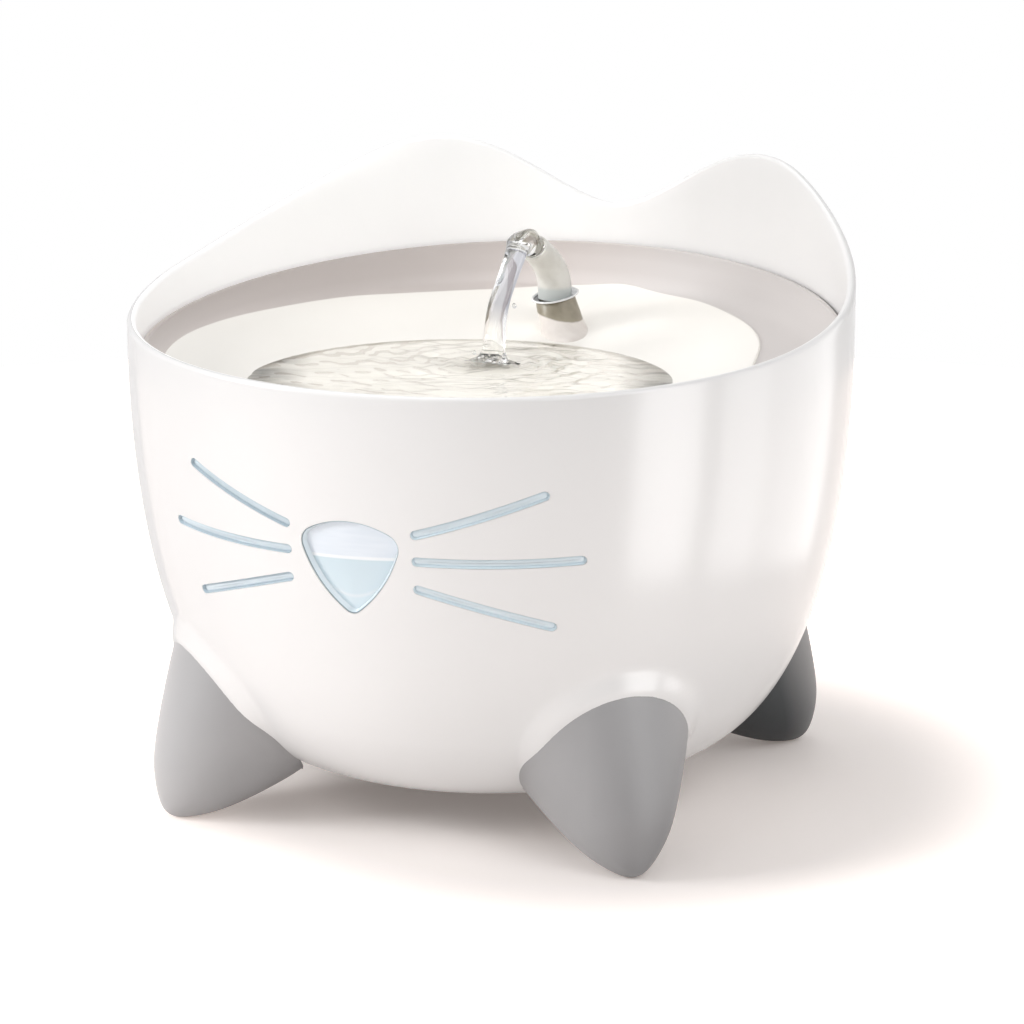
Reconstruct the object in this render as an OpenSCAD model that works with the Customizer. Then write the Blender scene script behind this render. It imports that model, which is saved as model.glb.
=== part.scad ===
// Pet water fountain shaped like a cat's head: a lit bowl on four feet, an inner tank with a
// submersible pump and a filter deck, and a tilted drinking tray with a swivelling spout.
// Millimetres. +Z is up, the nose faces -Y, and the origin is on the floor under the bowl's axis.

/* [Bowl] */
// Largest outer radius of the bowl
shell_r = 120; // [115:0.5:125]
// Wall of the bowl
shell_wall = 3; // [2.4:0.1:3.6]
// Height of the bowl's flat underside above the floor
shell_base_z = 14.5; // [14:0.5:20]
// Height at which the bowl is widest
wide_z = 152.7; // [151:0.5:158]
// How far below the underside the bowl's curve would close
pole_drop = 2.6; // [2:0.1:4]
// Fullness of the bowl's curve: higher is more cylindrical
fullness = 5.1; // [4.4:0.1:6]

/* [Rim and ears] */
// Height that the rim tends to at the front
rim_base_z = 156.4; // [155:0.2:160]
// Extra rim height at the sides
rim_sweep = 10.2; // [8:0.2:12]
// Length over which the sweep grows by a factor e towards the back
rim_reach = 63.2; // [60:0.4:72]
// Height of the ear tips
ear_z = 201.5; // [196:0.5:208]
// Distance of each ear tip from the middle
ear_x = 61.4; // [56:0.2:66]
// Height of the dip between the ears
dip_z = 178; // [176:0.5:186]
// Shape of the dip: 1 is a smooth wave, and lower is sharper at the bottom
dip_shape = 0.83; // [0.75:0.01:1]
// How much the ear's outer edge falls over one ear_x
ear_fall = 38; // [32:0.5:42]

/* [Face] */
// Half the width of the nose
nose_half_w = 16.2; // [14:0.2:18]
// Height of the nose's top edge
nose_top_z = 117.5; // [115:0.5:119]
// Height of the nose's tip
nose_tip_z = 87.3; // [85:0.5:89]
// How far the nose stands out of the bowl
nose_proud = 2.2; // [1.5:0.1:3]
// Width of a whisker
whisker_w = 2.9; // [2.4:0.1:3.4]
// Distance of the whiskers' inner ends from the middle
whisker_in_x = 22.2; // [21:0.2:24]
// Clearance round the nose and whiskers
window_gap = 0.25; // [0.15:0.05:0.4]
// Thickness of the plate behind the whiskers
window_plate = 2; // [1.6:0.1:2.4]

/* [Feet] */
// Height of the middle of a foot's seat on the bowl
foot_seat_z = 33.5; // [32:0.5:35]
// Half the width of a foot's seat, round the bowl
foot_half_w = 29.8; // [27:0.2:31]
// Half the height of a foot's seat, up the bowl
foot_half_h = 27; // [25:0.5:28]
// Radius of the fullest part of a foot
foot_belly_r = 18.7; // [17:0.1:20]
// Distance of the feet's tips from the bowl's axis
foot_tip_r = 111.9; // [109:0.1:114]
// Radius of a foot's rounded tip
foot_tip_ball = 6.8; // [6:0.2:8]
// Height on the bowl of the middle of the raised land above a foot
shoulder_z = 42; // [40:0.5:44]
// Radius of that land
shoulder_r = 26; // [24:0.5:27]
// How far the land stands out of the bowl
shoulder_proud = 1.2; // [0.8:0.1:1.6]
// Angle of the front feet from the nose
foot_front_angle = 45; // [43:0.5:50]
// Angle of the back feet from the nose
foot_back_angle = 132; // [128:0.5:136]

/* [Tray] */
// Clearance round the tray and the tank's flange at the ledge
fit_gap = 0.36; // [0.32:0.02:0.8]
// Height of the ledge that carries the tank and the tray
ledge_z = 133.5; // [133:0.5:135]
// Height of the tray's rim at the nose
tray_front_z = 146.5; // [145:0.5:148]
// Height of the tray's rim at the back
tray_back_z = 163.7; // [161:0.5:166]
// Wall of the tray
tray_wall = 2.4; // [2:0.1:2.8]
// How far the tray's wall leans in from its mouth to the cream floor
wall_run = 12.8; // [10:0.2:16]
// Depth of the tray's wall below the rim's plane
wall_depth = 13; // [11:0.5:15]
// Distance of the dish's middle from the axis, towards the nose
dish_y = 26; // [22:0.5:30]
// Height of the dish's lowest point
dish_z = 138.6; // [138:0.1:140]
// Radius of curvature of the dish
dish_curve = 690; // [640:10:760]
// Number of drain slots at the tray's front
drain_count = 9; // [5:2:11]

/* [Spout] */
// Distance of the spout's axis in from the bowl's widest radius, at the back
spout_in = 61; // [59:0.5:63]
// Height of the thin ring round the spout
collar_z = 155.8; // [154:0.2:158]
// Outer radius of the ring
collar_r = 7.9; // [7.5:0.1:8.5]
// Outer radius of the spout's elbow
elbow_r = 5.8; // [5.6:0.1:6.2]
// Bore radius of the elbow
elbow_bore_r = 4; // [3.8:0.1:4.2]
// Bend radius of the elbow
elbow_bend = 13; // [11:0.5:15]
// Angle through which the elbow bends
elbow_angle = 65; // [55:1:75]
// Outer radius of the riser tube
riser_r = 4.4; // [4.2:0.1:4.6]
// Bore radius of the riser tube
riser_bore_r = 3.2; // [3:0.1:3.4]

/* [Tank] */
// Dry gap between the bowl and the tank
tank_gap = 5.5; // [5:0.1:6]
// Wall of the tank
tank_wall = 2.2; // [1.8:0.1:2.6]
// Height of the tank's underside
tank_base_z = 32; // [31:0.5:34]
// Thickness of the seal under the tank's flange
seal_t = 0.8; // [0.6:0.1:1]

/* [Filter] */
// Height of the filter deck's underside
deck_z = 108; // [106:0.5:110]
// Thickness of the deck and its cup
deck_t = 2; // [1.6:0.1:2.4]
// Outer radius of the filter cup
cup_r = 46; // [42:0.5:48]
// Depth of the filter cup below the deck
cup_depth = 20; // [16:0.5:22]
// Distance of the cup's middle from the axis, towards the nose
cup_y = 14; // [12:0.5:16]

/* [Pump] */
// Height of the pump's underside above the tank's floor
cup_stand = 5; // [4.5:0.1:6]
// Width of the pump
pump_w = 42; // [40:0.5:46]
// Height of the pump
pump_h = 34; // [32:0.5:36]
// Length of the motor housing
motor_len = 36; // [32:0.5:38]
// Radius of the impeller's vanes
vane_r = 12.5; // [11:0.5:13]
// Number of vanes
vane_count = 6; // [4:1:8]
// Radius of the impeller's shaft
shaft_r = 1.5; // [1.2:0.1:1.8]
// Running clearance of turning parts
run_gap = 0.08; // [0.05:0.01:0.1]

/* [Base] */
// Radius of the plate that closes the bowl's underside
plate_r = 60; // [57:0.5:61]
// Thickness of that plate
plate_t = 2.6; // [2.2:0.1:3]
// Bore radius of the supply inlet
socket_bore_r = 2.75; // [2.5:0.05:3]
// Height of the supply inlet
socket_z = 24.6; // [24.4:0.1:24.8]

/* [Hidden] */
$fn = 96;
eps = 0.01;
far = 140;                                   // reaches past the bowl in every direction
top_z = 215;                                 // above the ear tips
curve_steps = 14;                            // straight pieces in the bowl's curve

WHITE = "#f7f6f4";
CREAM = "#f3efe6";
BAND_GREY = "#cfc7c3";
FOOT_GREY = "#9b9b9c";
ICE_BLUE = "#bcd9e8";
FROST = "#dfe6e6";
CLEAR = "#c9d2d6";
DARK = "#3a3c40";
STEEL = "#b9bcc0";
RUBBER = "#55585c";
BOARD_GREEN = "#2f6b4a";
FOAM_GREY = "#6f747a";
CARBON = "#4c4a47";
CERAMIC = "#eee9e0";

spout_y = shell_r - spout_in;

// ---- The bowl's curve -------------------------------------------------------------------

pole_z = shell_base_z - pole_drop;

// Outer radius at a height: a superellipse that is widest at wide_z
function bowl_r(z) =
    let (u = (wide_z - min(z, wide_z)) / (wide_z - pole_z))
    shell_r * pow(1 - u * u, 1 / fullness);

// Heights along the curve, closer together where it turns fast near the base
function bowl_z(i) = shell_base_z + (wide_z - shell_base_z) * pow(i / curve_steps, 2);

// Point of the curve parallel to the outside and inset from it by the distance d
function bowl_point(i, d) =
    let (z = bowl_z(i), step = 0.05)
    let (slope = (bowl_r(z + step) - bowl_r(z)) / step, len = sqrt(1 + slope * slope))
    [bowl_r(z) - d / len, z + d * slope / len];

// Solid of revolution inside the curve that is inset by d, from its own base to above the ears
module bowl_solid(d, over = 0) {
    points = [for (i = [0 : curve_steps]) bowl_point(i, d)];
    rotate_extrude($fn = 180)
        polygon(concat(
            [[0, points[0][1]]], points, [[shell_r - d, top_z + over], [0, top_z + over]]));
}

// Skin between two insets
module bowl_skin(outer_d, inner_d) {
    difference() {
        bowl_solid(outer_d);
        bowl_solid(inner_d, 1);
    }
}

// ---- Rims -------------------------------------------------------------------------------

function side_rim_z(y) = rim_base_z + rim_sweep * exp(y / rim_reach);

function ear_rim_z(x) =
    abs(x) < ear_x
        ? dip_z + (ear_z - dip_z) * pow((1 - cos(180 * x / ear_x)) / 2, dip_shape)
        : ear_z - ear_fall * pow((abs(x) - ear_x) / ear_x, 2);

// Extrudes an outline drawn in (y, z) across the bowl
module across() {
    rotate([90, 0, 90]) linear_extrude(2 * far, center = true) children();
}

// Extrudes an outline drawn in (x, z) from front to back
module lengthwise(length = 2 * far) {
    rotate([90, 0, 0]) linear_extrude(length, center = true) children();
}

// Extrudes an outline drawn in (x, z) forwards from the axis only
module forwards() {
    rotate([90, 0, 0]) linear_extrude(far) children();
}

// Everything below the swept, eared rim
module below_shell_rim() {
    intersection() {
        across() polygon(concat(
            [[-far, 0]],
            [for (y = [-far : 10 : far]) [y, side_rim_z(y)]],
            [[far, 0]]));
        lengthwise() polygon(concat(
            [[-far, 0]],
            [for (i = [-28 : 28]) let (x = i * 5) [x, ear_rim_z(x)]],
            [[far, 0]]));
    }
}

tray_r = bowl_r(ledge_z) - shell_wall - fit_gap;
floor_r = tray_r - tray_wall - wall_run;     // of the cream floor
tray_tilt = atan((tray_back_z - tray_front_z) / (2 * tray_r));

function tray_rim_z(y) =
    tray_front_z + (tray_back_z - tray_front_z) * pow((y + tray_r) / (2 * tray_r), 1.6);

// Everything below the tray's curved rim
module below_tray_rim() {
    across() polygon(concat(
        [[-tray_r - 1, 0], [-tray_r - 1, tray_front_z]],
        [for (i = [0 : 16]) let (y = -tray_r + i * tray_r / 8) [y, tray_rim_z(y)]],
        [[tray_r + 1, tray_back_z], [tray_r + 1, 0]]));
}

// ---- Nose and whiskers ------------------------------------------------------------------

nose_tip_ball = 3.4;
nose_corner_ball = 5.2;
nose_top_curve = 28;
nose_side_curve = 42;

// Centre of the nose's upper right corner, tangent to its top arc and to its widest upright
nose_corner = let (x = nose_half_w - nose_corner_ball, reach = nose_top_curve - nose_corner_ball)
    [x, nose_top_z - nose_top_curve + sqrt(reach * reach - x * x)];
nose_tip = [0, nose_tip_z + nose_tip_ball];

// Centre of the side arc, which touches the corner ball and the tip ball from outside
nose_side = let (
        a = nose_side_curve - nose_corner_ball,
        b = nose_side_curve - nose_tip_ball,
        v = nose_tip - nose_corner,
        d = norm(v),
        along = (a * a - b * b + d * d) / (2 * d),
        off = sqrt(a * a - along * along))
    nose_corner + v / d * along + [v[1], -v[0]] / d * off;

function heading(v) = atan2(v[1], v[0]);
function arc(c, r, from, to, n) =
    [for (i = [0 : n]) let (a = from + (to - from) * i / n) c + r * [cos(a), sin(a)]];

// Right half of the outline, from the tip up to the middle of the top edge
function nose_half(grow) =
    let (
        tip_end = heading(nose_tip - nose_side),
        side_end = heading(nose_corner - nose_side),
        top_centre = [0, nose_top_z - nose_top_curve],
        top_start = heading(nose_corner - top_centre))
    concat(
        arc(nose_tip, nose_tip_ball + grow, -90, tip_end, 3),
        arc(nose_side, nose_side_curve + grow, tip_end, side_end, 5),
        arc(nose_corner, nose_corner_ball + grow, side_end, top_start, 5),
        arc(top_centre, nose_top_curve + grow, top_start, 90, 4));

module nose_outline(grow = 0) {
    half = nose_half(grow);
    last = len(half) - 1;
    polygon(concat(half, [for (i = [last - 1 : -1 : 1]) [-half[i][0], half[i][1]]]));
}

// Inner end and outer end of each whisker on the right, as (x, z)
whiskers = [
    [[whisker_in_x, 114.8], [59, 127.4]],
    [[whisker_in_x, 106], [68, 106.2]],
    [[whisker_in_x, 96.6], [59, 84.6]]
];

// A straight bar with round ends between two points
module bar_2d(from, to, width) {
    run = to - from;
    translate(from) rotate(heading(run)) {
        translate([0, -width / 2]) square([norm(run), width]);
        circle(d = width, $fn = 24);
        translate([norm(run), 0]) circle(d = width, $fn = 24);
    }
}

module whisker_outlines(grow = 0) {
    for (w = whiskers)
        bar_2d(w[0], w[1], whisker_w + 2 * grow);
}

// ---- Places -----------------------------------------------------------------------------

foot_angles = [-foot_front_angle, foot_front_angle, foot_back_angle, -foot_back_angle];

// Turns a child modelled at the nose (-Y) to an angle round the axis, positive towards +X
module at_angle(a) {
    rotate([0, 0, a]) children();
}

// Slope of the bowl's side at a height, and how far its outward normal points below level
function bowl_slope(z) = (bowl_r(z + 0.05) - bowl_r(z)) / 0.05;
function bowl_lean(z) = atan(bowl_slope(z));

// Moves a child that is modelled along +Z onto the bowl's outside, +Z pointing out of the bowl
module on_bowl(a, z) {
    at_angle(a)
        translate([0, -bowl_r(z), z])
            rotate([90 + bowl_lean(z), 0, 0])
                children();
}

ledge_t = 2.2;
ledge_r = tray_r - 3.4;                      // the ledge reaches this far under the tray's edge
flange_z = ledge_z + seal_t;
flange_t = 2;
skirt_z = flange_z + flange_t;
tank_d = shell_wall + tank_gap;              // inset of the tank's outside
tank_in_d = tank_d + tank_wall;
tank_floor_z = tank_base_z + tank_wall;

opening_r = plate_r - 8;                     // service opening in the bowl's floor
floor_top_z = bowl_point(0, shell_wall)[1];
plate_z = shell_base_z - 1;                  // the plate stands 1 mm proud
plate_screw_r = (plate_r + opening_r) / 2;
screw_hole_r = 1.6;
screw_r = 1.5;
foot_screw_len = 15;
boss_r = 3.6;
boss_top_z = 24;

nose_flange = 2.6;
gasket_t = 0.6;
strip_t = 1;
window_d = shell_wall + window_plate;        // inset of the back of the windows' plates

socket_r = 4.9;
socket_boss_r = 7;
socket_face_y = bowl_r(socket_z + socket_boss_r);
socket_len = 17;                             // of the boss
socket_housing = [13, 10, 8.6];
socket_bore_len = 13;
socket_drop = 2.4;                           // depth of the socket's housing below its axis
nut_t = 2.4;

// ---- Bowl -------------------------------------------------------------------------------

module outer_shell() {
    color(WHITE)
    difference() {
        intersection() {
            union() {
                bowl_skin(0, shell_wall);
                shell_ledge();
                for (a = foot_angles)
                    foot_shoulder(a);
                plate_bosses();
                socket_boss();
            }
            below_shell_rim();
        }
        translate([0, 0, -far]) cylinder(r = opening_r, h = far + floor_top_z + 1);
        translate([0, 0, -far]) cylinder(r = plate_r + 0.3, h = far + plate_z + plate_t);
        forwards() nose_outline(window_gap);
        forwards() whisker_outlines(window_gap);
        forwards() mirror([1, 0]) whisker_outlines(window_gap);
        for (a = foot_angles)
            on_bowl(a, foot_seat_z)
                cylinder(r = screw_hole_r + 0.1, h = 30, center = true, $fn = 32);
        at_plate_screws() translate([0, 0, plate_z]) cylinder(r = screw_r, h = 9.5, $fn = 32);
        socket_hole();
    }
}

// Ring inside the wall
module shell_ledge() {
    intersection() {
        translate([0, 0, ledge_z - ledge_t]) difference() {
            cylinder(r = shell_r, h = ledge_t, $fn = 180);
            translate([0, 0, -1]) cylinder(r = ledge_r, h = ledge_t + 2, $fn = 180);
        }
        bowl_solid(shell_wall / 2);
    }
}

// Raised round land above each foot, standing a little out of the bowl
module foot_shoulder(a) {
    intersection() {
        on_bowl(a, shoulder_z) translate([0, 0, -8]) cylinder(r = shoulder_r, h = 30);
        bowl_skin(-shoulder_proud, shell_wall / 2);
    }
}

module at_plate_screws() {
    for (a = [45 : 90 : 315])
        rotate(a) translate([plate_screw_r, 0, 0]) children();
}

module plate_bosses() {
    at_plate_screws()
        translate([0, 0, shell_base_z]) cylinder(r = boss_r, h = boss_top_z - shell_base_z, $fn = 48);
}

module socket_boss() {
    translate([0, socket_face_y, socket_z]) rotate([90, 0, 0])
        cylinder(r = socket_boss_r, h = socket_len);
}

module socket_hole() {
    translate([0, socket_face_y + 1, socket_z]) rotate([90, 0, 0])
        cylinder(r = socket_r + 0.1, h = socket_len + 1, $fn = 48);
}

// ---- Base -------------------------------------------------------------------------------

module base_plate() {
    rib_r = opening_r - 0.4;
    rib_h = 3.9;                             // above the plate
    vent = [2.4, 12];                        // width and length of a slot
    vent_y = -30;
    color(DARK)
    difference() {
        union() {
            translate([0, 0, plate_z]) cylinder(r = plate_r, h = plate_t);
            difference() {
                translate([0, 0, plate_z]) cylinder(r = rib_r, h = plate_t + rib_h);
                translate([0, 0, plate_z + plate_t]) cylinder(r = rib_r - 2, h = 10);
            }
            board_posts(tank_base_z);
            board_shelves();
        }
        at_plate_screws() translate([0, 0, -1]) cylinder(r = screw_hole_r, h = 30, $fn = 32);
        for (i = [-3 : 3])
            translate([i * 7 - vent[0] / 2, vent_y, 0]) cube([vent[0], vent[1], board_z]);
    }
}

// Posts that carry the tank's floor, outside the board
module board_posts(to) {
    post_x = board_size[0] / 2 + 13;
    post_y = board_y - 32;
    for (place = [[-post_x, 0], [post_x, 0], [0, post_y]])
        translate([place[0], place[1], plate_z]) cylinder(r = 4, h = to - plate_z, $fn = 48);
}

board_size = [50, 34, 1.6];
board_y = -8;
board_z = 20;
module board_shelves() {
    shelf_x = board_size[0] / 2 - 5;
    for (x = [-shelf_x, shelf_x], y = [board_y, board_y + board_size[1] - 4])
        translate([x, y, plate_z]) cylinder(r = 3, h = board_z - plate_z, $fn = 32);
}

module base_screws() {
    head_t = 1.8;
    shank = 9;
    color(STEEL)
    at_plate_screws() {
        translate([0, 0, plate_z]) cylinder(r = screw_r, h = shank, $fn = 32);
        translate([0, 0, plate_z - head_t]) difference() {
            cylinder(r = 2.8, h = head_t, $fn = 32);
            for (a = [0, 90])
                rotate(a) translate([-1.6, -0.4, -eps]) cube([3.2, 0.8, 1]);
        }
    }
}

module control_board() {
    color(BOARD_GREEN)
        translate([-board_size[0] / 2, board_y - 2, board_z]) cube(board_size);
    color(DARK) {
        translate([-18, board_y + 3, board_z + board_size[2]]) cube([10, 10, 2]);
        translate([4, board_y + 4, board_z + board_size[2]]) cube([7, 5, 1.6]);
        translate([12, board_y + 18, board_z + board_size[2]]) cube([8, 9, 5]);
        translate([-4, board_y + 22, board_z + board_size[2]]) cylinder(r = 3.2, h = 7, $fn = 32);
    }
}

// Panel socket: a barrel through the boss, a housing inside and its nut outside
module dc_socket() {
    color(DARK)
    translate([0, socket_face_y + nut_t + 0.6, socket_z]) rotate([90, 0, 0]) difference() {
        union() {
            cylinder(r = socket_r, h = nut_t + 0.6 + socket_len, $fn = 48);
            translate([-socket_housing[0] / 2, -socket_drop, nut_t + 0.6 + socket_len])
                cube([socket_housing[0], socket_housing[2], socket_housing[1]]);
        }
        translate([0, 0, -1]) cylinder(r = socket_bore_r, h = socket_bore_len + 1, $fn = 48);
    }
}

module socket_nut() {
    color(STEEL)
    translate([0, socket_face_y + nut_t, socket_z]) rotate([90, 0, 0]) difference() {
        cylinder(r = 6.8, h = nut_t, $fn = 6);
        translate([0, 0, -1]) cylinder(r = socket_r, h = nut_t + 2, $fn = 48);
    }
}

// ---- Feet -------------------------------------------------------------------------------

// A rounded cone from its oval seat on the bowl down to a blunt tip, full in the middle
module foot(a) {
    seat_sink = 4.5;
    belly_in = 10.7;                         // from the tip towards the bowl's axis
    belly_up = 13.6;                         // from the tip's middle
    tip_flat = 0.4;                          // cut off the tip to stand on
    tip_z = foot_tip_ball - tip_flat;
    color(FOOT_GREY)
    difference() {
        hull() {
            on_bowl(a, foot_seat_z) translate([0, 0, -seat_sink - 1]) linear_extrude(1)
                resize([2 * foot_half_w, 2 * foot_half_h]) circle(r = foot_half_w, $fn = 48);
            at_angle(a) translate([0, belly_in - foot_tip_r, tip_z + belly_up])
                sphere(r = foot_belly_r, $fn = 32);
            at_angle(a) translate([0, -foot_tip_r, tip_z]) sphere(r = foot_tip_ball, $fn = 24);
        }
        bowl_solid(0);
        foot_shoulder(a);
        translate([-far, -far, -far]) cube([2 * far, 2 * far, far]);
        on_bowl(a, foot_seat_z) cylinder(r = screw_r, h = foot_screw_len, $fn = 32);
    }
}

module foot_front_left() { foot(foot_angles[0]); }
module foot_front_right() { foot(foot_angles[1]); }
module foot_back_right() { foot(foot_angles[2]); }
module foot_back_left() { foot(foot_angles[3]); }

module foot_screws() {
    head_t = 2;
    color(STEEL)
    for (a = foot_angles)
        on_bowl(a, foot_seat_z) {
            translate([0, 0, -shell_wall - 0.6]) cylinder(r = screw_r, h = foot_screw_len, $fn = 32);
            translate([0, 0, -shell_wall - head_t - 0.2]) cylinder(r = 2.8, h = head_t, $fn = 32);
        }
}

// ---- Lights -----------------------------------------------------------------------------

module nose_lens() {
    dome_r = 75;                             // radius of its outside
    mid_z = (nose_top_z + nose_tip_z) / 2;
    color(ICE_BLUE)
    union() {
        difference() {
            intersection() {
                forwards() nose_outline();
                on_bowl(0, mid_z) translate([0, 0, nose_proud - dome_r]) sphere(r = dome_r, $fn = 180);
            }
            bowl_solid(shell_wall + gasket_t);
        }
        intersection() {
            forwards() nose_outline(nose_flange);
            bowl_skin(shell_wall + gasket_t, window_d);
        }
    }
}

module nose_gasket() {
    color(RUBBER)
    intersection() {
        bowl_skin(shell_wall, shell_wall + gasket_t);
        forwards() difference() {
            nose_outline(nose_flange);
            nose_outline(window_gap);
        }
    }
}

// Three bars that fill their slots, on one plate behind the wall
module whisker_light() {
    plate_grow = 2.2;
    plate_in_x = whisker_in_x - 1.6;
    plate_low = whiskers[2][1][1] - whisker_w / 2 - plate_grow;
    plate_high = whiskers[0][1][1] + whisker_w / 2 + plate_grow - 0.6;
    color(ICE_BLUE)
    union() {
        intersection() {
            forwards() whisker_outlines();
            bowl_skin(-0.4, shell_wall + 0.2);
        }
        intersection() {
            forwards() polygon([
                [plate_in_x, whiskers[2][0][1] - 4], [whiskers[2][1][0] - 4, plate_low],
                [whiskers[2][1][0] + 3, plate_low], [whiskers[1][1][0] + 3, whiskers[1][1][1]],
                [whiskers[0][1][0] + 3, plate_high], [whiskers[0][1][0] - 4, plate_high],
                [plate_in_x, whiskers[0][0][1] + 4]]);
            bowl_skin(shell_wall, window_d);
        }
    }
}

module whisker_light_right() { whisker_light(); }
module whisker_light_left() { mirror([1, 0, 0]) whisker_light(); }

// Flexible strip of lamps lying on the backs of the three windows
module led_strip() {
    strip_w = 10;
    strip_z = whiskers[1][0][1] - 1;         // its middle, behind the middle whiskers
    half_w = whiskers[1][1][0] - 6;
    lamp_step = (half_w - 8) / 3;
    lamp = 4;
    lamp_t = 0.9;
    color(CREAM)
    intersection() {
        bowl_skin(window_d, window_d + strip_t);
        forwards() translate([0, strip_z]) square([2 * half_w, strip_w], center = true);
    }
    color("#f3e9a8")
    intersection() {
        bowl_skin(window_d + strip_t / 2, window_d + strip_t + lamp_t);
        forwards()
            for (i = [-3 : 3])
                translate([i * lamp_step, strip_z]) square(lamp, center = true);
    }
}

// ---- Tank -------------------------------------------------------------------------------

module inner_tank() {
    bracket_t = 6;
    color(WHITE)
    difference() {
        union() {
            intersection() {
                bowl_solid(tank_d);
                translate([0, 0, tank_base_z]) cylinder(r = far, h = skirt_z - tank_base_z);
            }
            translate([0, 0, flange_z]) cylinder(r = tray_r, h = flange_t, $fn = 180);
        }
        difference() {
            bowl_solid(tank_in_d);
            cylinder(r = far, h = tank_floor_z);
            deck_brackets(deck_z - bracket_t);
            fill_line();
        }
    }
}

// Four brackets that the filter deck rests on
module deck_brackets(from) {
    for (a = [50, 130, 230, 310])
        at_angle(a) translate([-5, -far, from]) cube([10, far - deck_bracket_r(), deck_z - from]);
}

function tank_in_r(z) = bowl_r(z) - tank_in_d;
function deck_bracket_r() = tank_in_r(deck_z) - 5;

// Raised ring that marks the highest water
module fill_line() {
    fill_z = 98;
    difference() {
        translate([0, 0, fill_z]) cylinder(r = far, h = 1.2);
        translate([0, 0, fill_z - 1]) cylinder(r = tank_in_r(fill_z) - 0.9, h = 4, $fn = 180);
    }
}

module tank_seal() {
    color(RUBBER)
    translate([0, 0, ledge_z]) difference() {
        cylinder(r = tray_r, h = seal_t, $fn = 180);
        translate([0, 0, -1]) cylinder(r = ledge_r, h = 4, $fn = 180);
    }
}

// ---- Pump -------------------------------------------------------------------------------

pump_z = tank_floor_z + cup_stand;
axis_z = pump_z + pump_h / 2;
front_y = spout_y + 8;                       // front face of the volute
volute_len = 14;
volute_y = front_y - volute_len;
motor_y = volute_y - motor_len;
well_r = 9.4;
chamber_r = vane_r + 2;
outlet_r = 6.2;
outlet_top_z = pump_z + pump_h + 12;
eye_r = 6.5;
bush_r = 3.2;
well_gap = 6;                                // closed end of the rotor well

// Moves a child modelled along +Z onto the pump's axis, +Z pointing to the back (+Y)
module on_pump_axis(y) {
    translate([0, y, axis_z]) rotate([-90, 0, 0]) children();
}

// Upright block with rounded vertical edges, centred on x
module rounded_block(w, y0, y1, z0, z1, r) {
    translate([0, 0, z0]) linear_extrude(z1 - z0) {
        translate([-w / 2 + r, y0]) square([w - 2 * r, y1 - y0]);
        translate([-w / 2, y0 + r]) square([w, y1 - y0 - 2 * r]);
        for (x = [-w / 2 + r, w / 2 - r], y = [y0 + r, y1 - r])
            translate([x, y]) circle(r = r, $fn = 32);
    }
}

module pump_housing() {
    rib_step = 6;
    color(DARK)
    difference() {
        union() {
            rounded_block(pump_w, motor_y, volute_y, pump_z, pump_z + pump_h, 5);
            for (y = [motor_y + 8 : rib_step : volute_y - 4])
                translate([-pump_w / 2 - 1, y, pump_z + 3]) cube([pump_w + 2, 2, pump_h - 6]);
        }
        on_pump_axis(motor_y + well_gap) cylinder(r = well_r, h = motor_len, $fn = 64);
        at_suction_cups() cylinder(r = 2, h = 3 + eps, $fn = 32);
    }
}

module volute() {
    wall = 2;
    color(DARK)
    difference() {
        union() {
            rounded_block(pump_w, volute_y, front_y, pump_z, pump_z + pump_h, 5);
            translate([0, spout_y, axis_z]) cylinder(r = outlet_r, h = outlet_top_z - axis_z);
        }
        on_pump_axis(volute_y - 1) cylinder(r = chamber_r, h = volute_len - wall + 1, $fn = 64);
        on_pump_axis(volute_y) difference() {
            cylinder(r = eye_r, h = volute_len + 1, $fn = 48);
            eye_spider(volute_len - wall, wall + 2);
        }
        on_pump_axis(volute_y) cylinder(r = bush_r, h = far, $fn = 32);
        translate([0, spout_y, axis_z]) cylinder(r = riser_bore_r + 1, h = far, $fn = 48);
    }
}

// Three spokes that hold the front bush in the intake eye
module eye_spider(from, length) {
    for (a = [90 : 120 : 330])
        rotate(a) translate([0, -0.8, from]) cube([eye_r + 1, 1.6, length]);
    translate([0, 0, from]) cylinder(r = bush_r + 0.8, h = length, $fn = 32);
}

// Magnet, hub and disc of vanes in one, running on the fixed shaft
module impeller() {
    back_y = motor_y + well_gap + 2;
    disc_at = volute_y + 3 - back_y;
    disc_t = 1.5;
    vane_end = volute_y + 10.5 - back_y;
    color(DARK)
    on_pump_axis(back_y) difference() {
        union() {
            cylinder(r = well_r - 0.8, h = volute_y - 1 - back_y, $fn = 64);
            cylinder(r = 4, h = vane_end, $fn = 32);
            translate([0, 0, disc_at]) cylinder(r = vane_r, h = disc_t, $fn = 64);
            for (i = [0 : vane_count - 1])
                rotate(i * 360 / vane_count)
                    translate([2.5, -0.7, disc_at + eps])
                        cube([vane_r - 2.8, 1.4, vane_end - disc_at - eps]);
        }
        translate([0, 0, -1]) cylinder(r = shaft_r + run_gap, h = far, $fn = 32);
    }
}

module impeller_shaft() {
    color(CERAMIC)
    on_pump_axis(motor_y + well_gap)
        cylinder(r = shaft_r, h = front_y - motor_y - well_gap, $fn = 32);
}

// Ceramic bushes at both ends of the shaft
module shaft_bushes() {
    color(CERAMIC) {
        on_pump_axis(motor_y + well_gap) bush(1.8);
        on_pump_axis(front_y - 2) bush(5);
    }
}

module bush(length) {
    difference() {
        cylinder(r = bush_r, h = length, $fn = 32);
        translate([0, 0, -1]) cylinder(r = shaft_r, h = length + 2, $fn = 32);
    }
}

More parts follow.
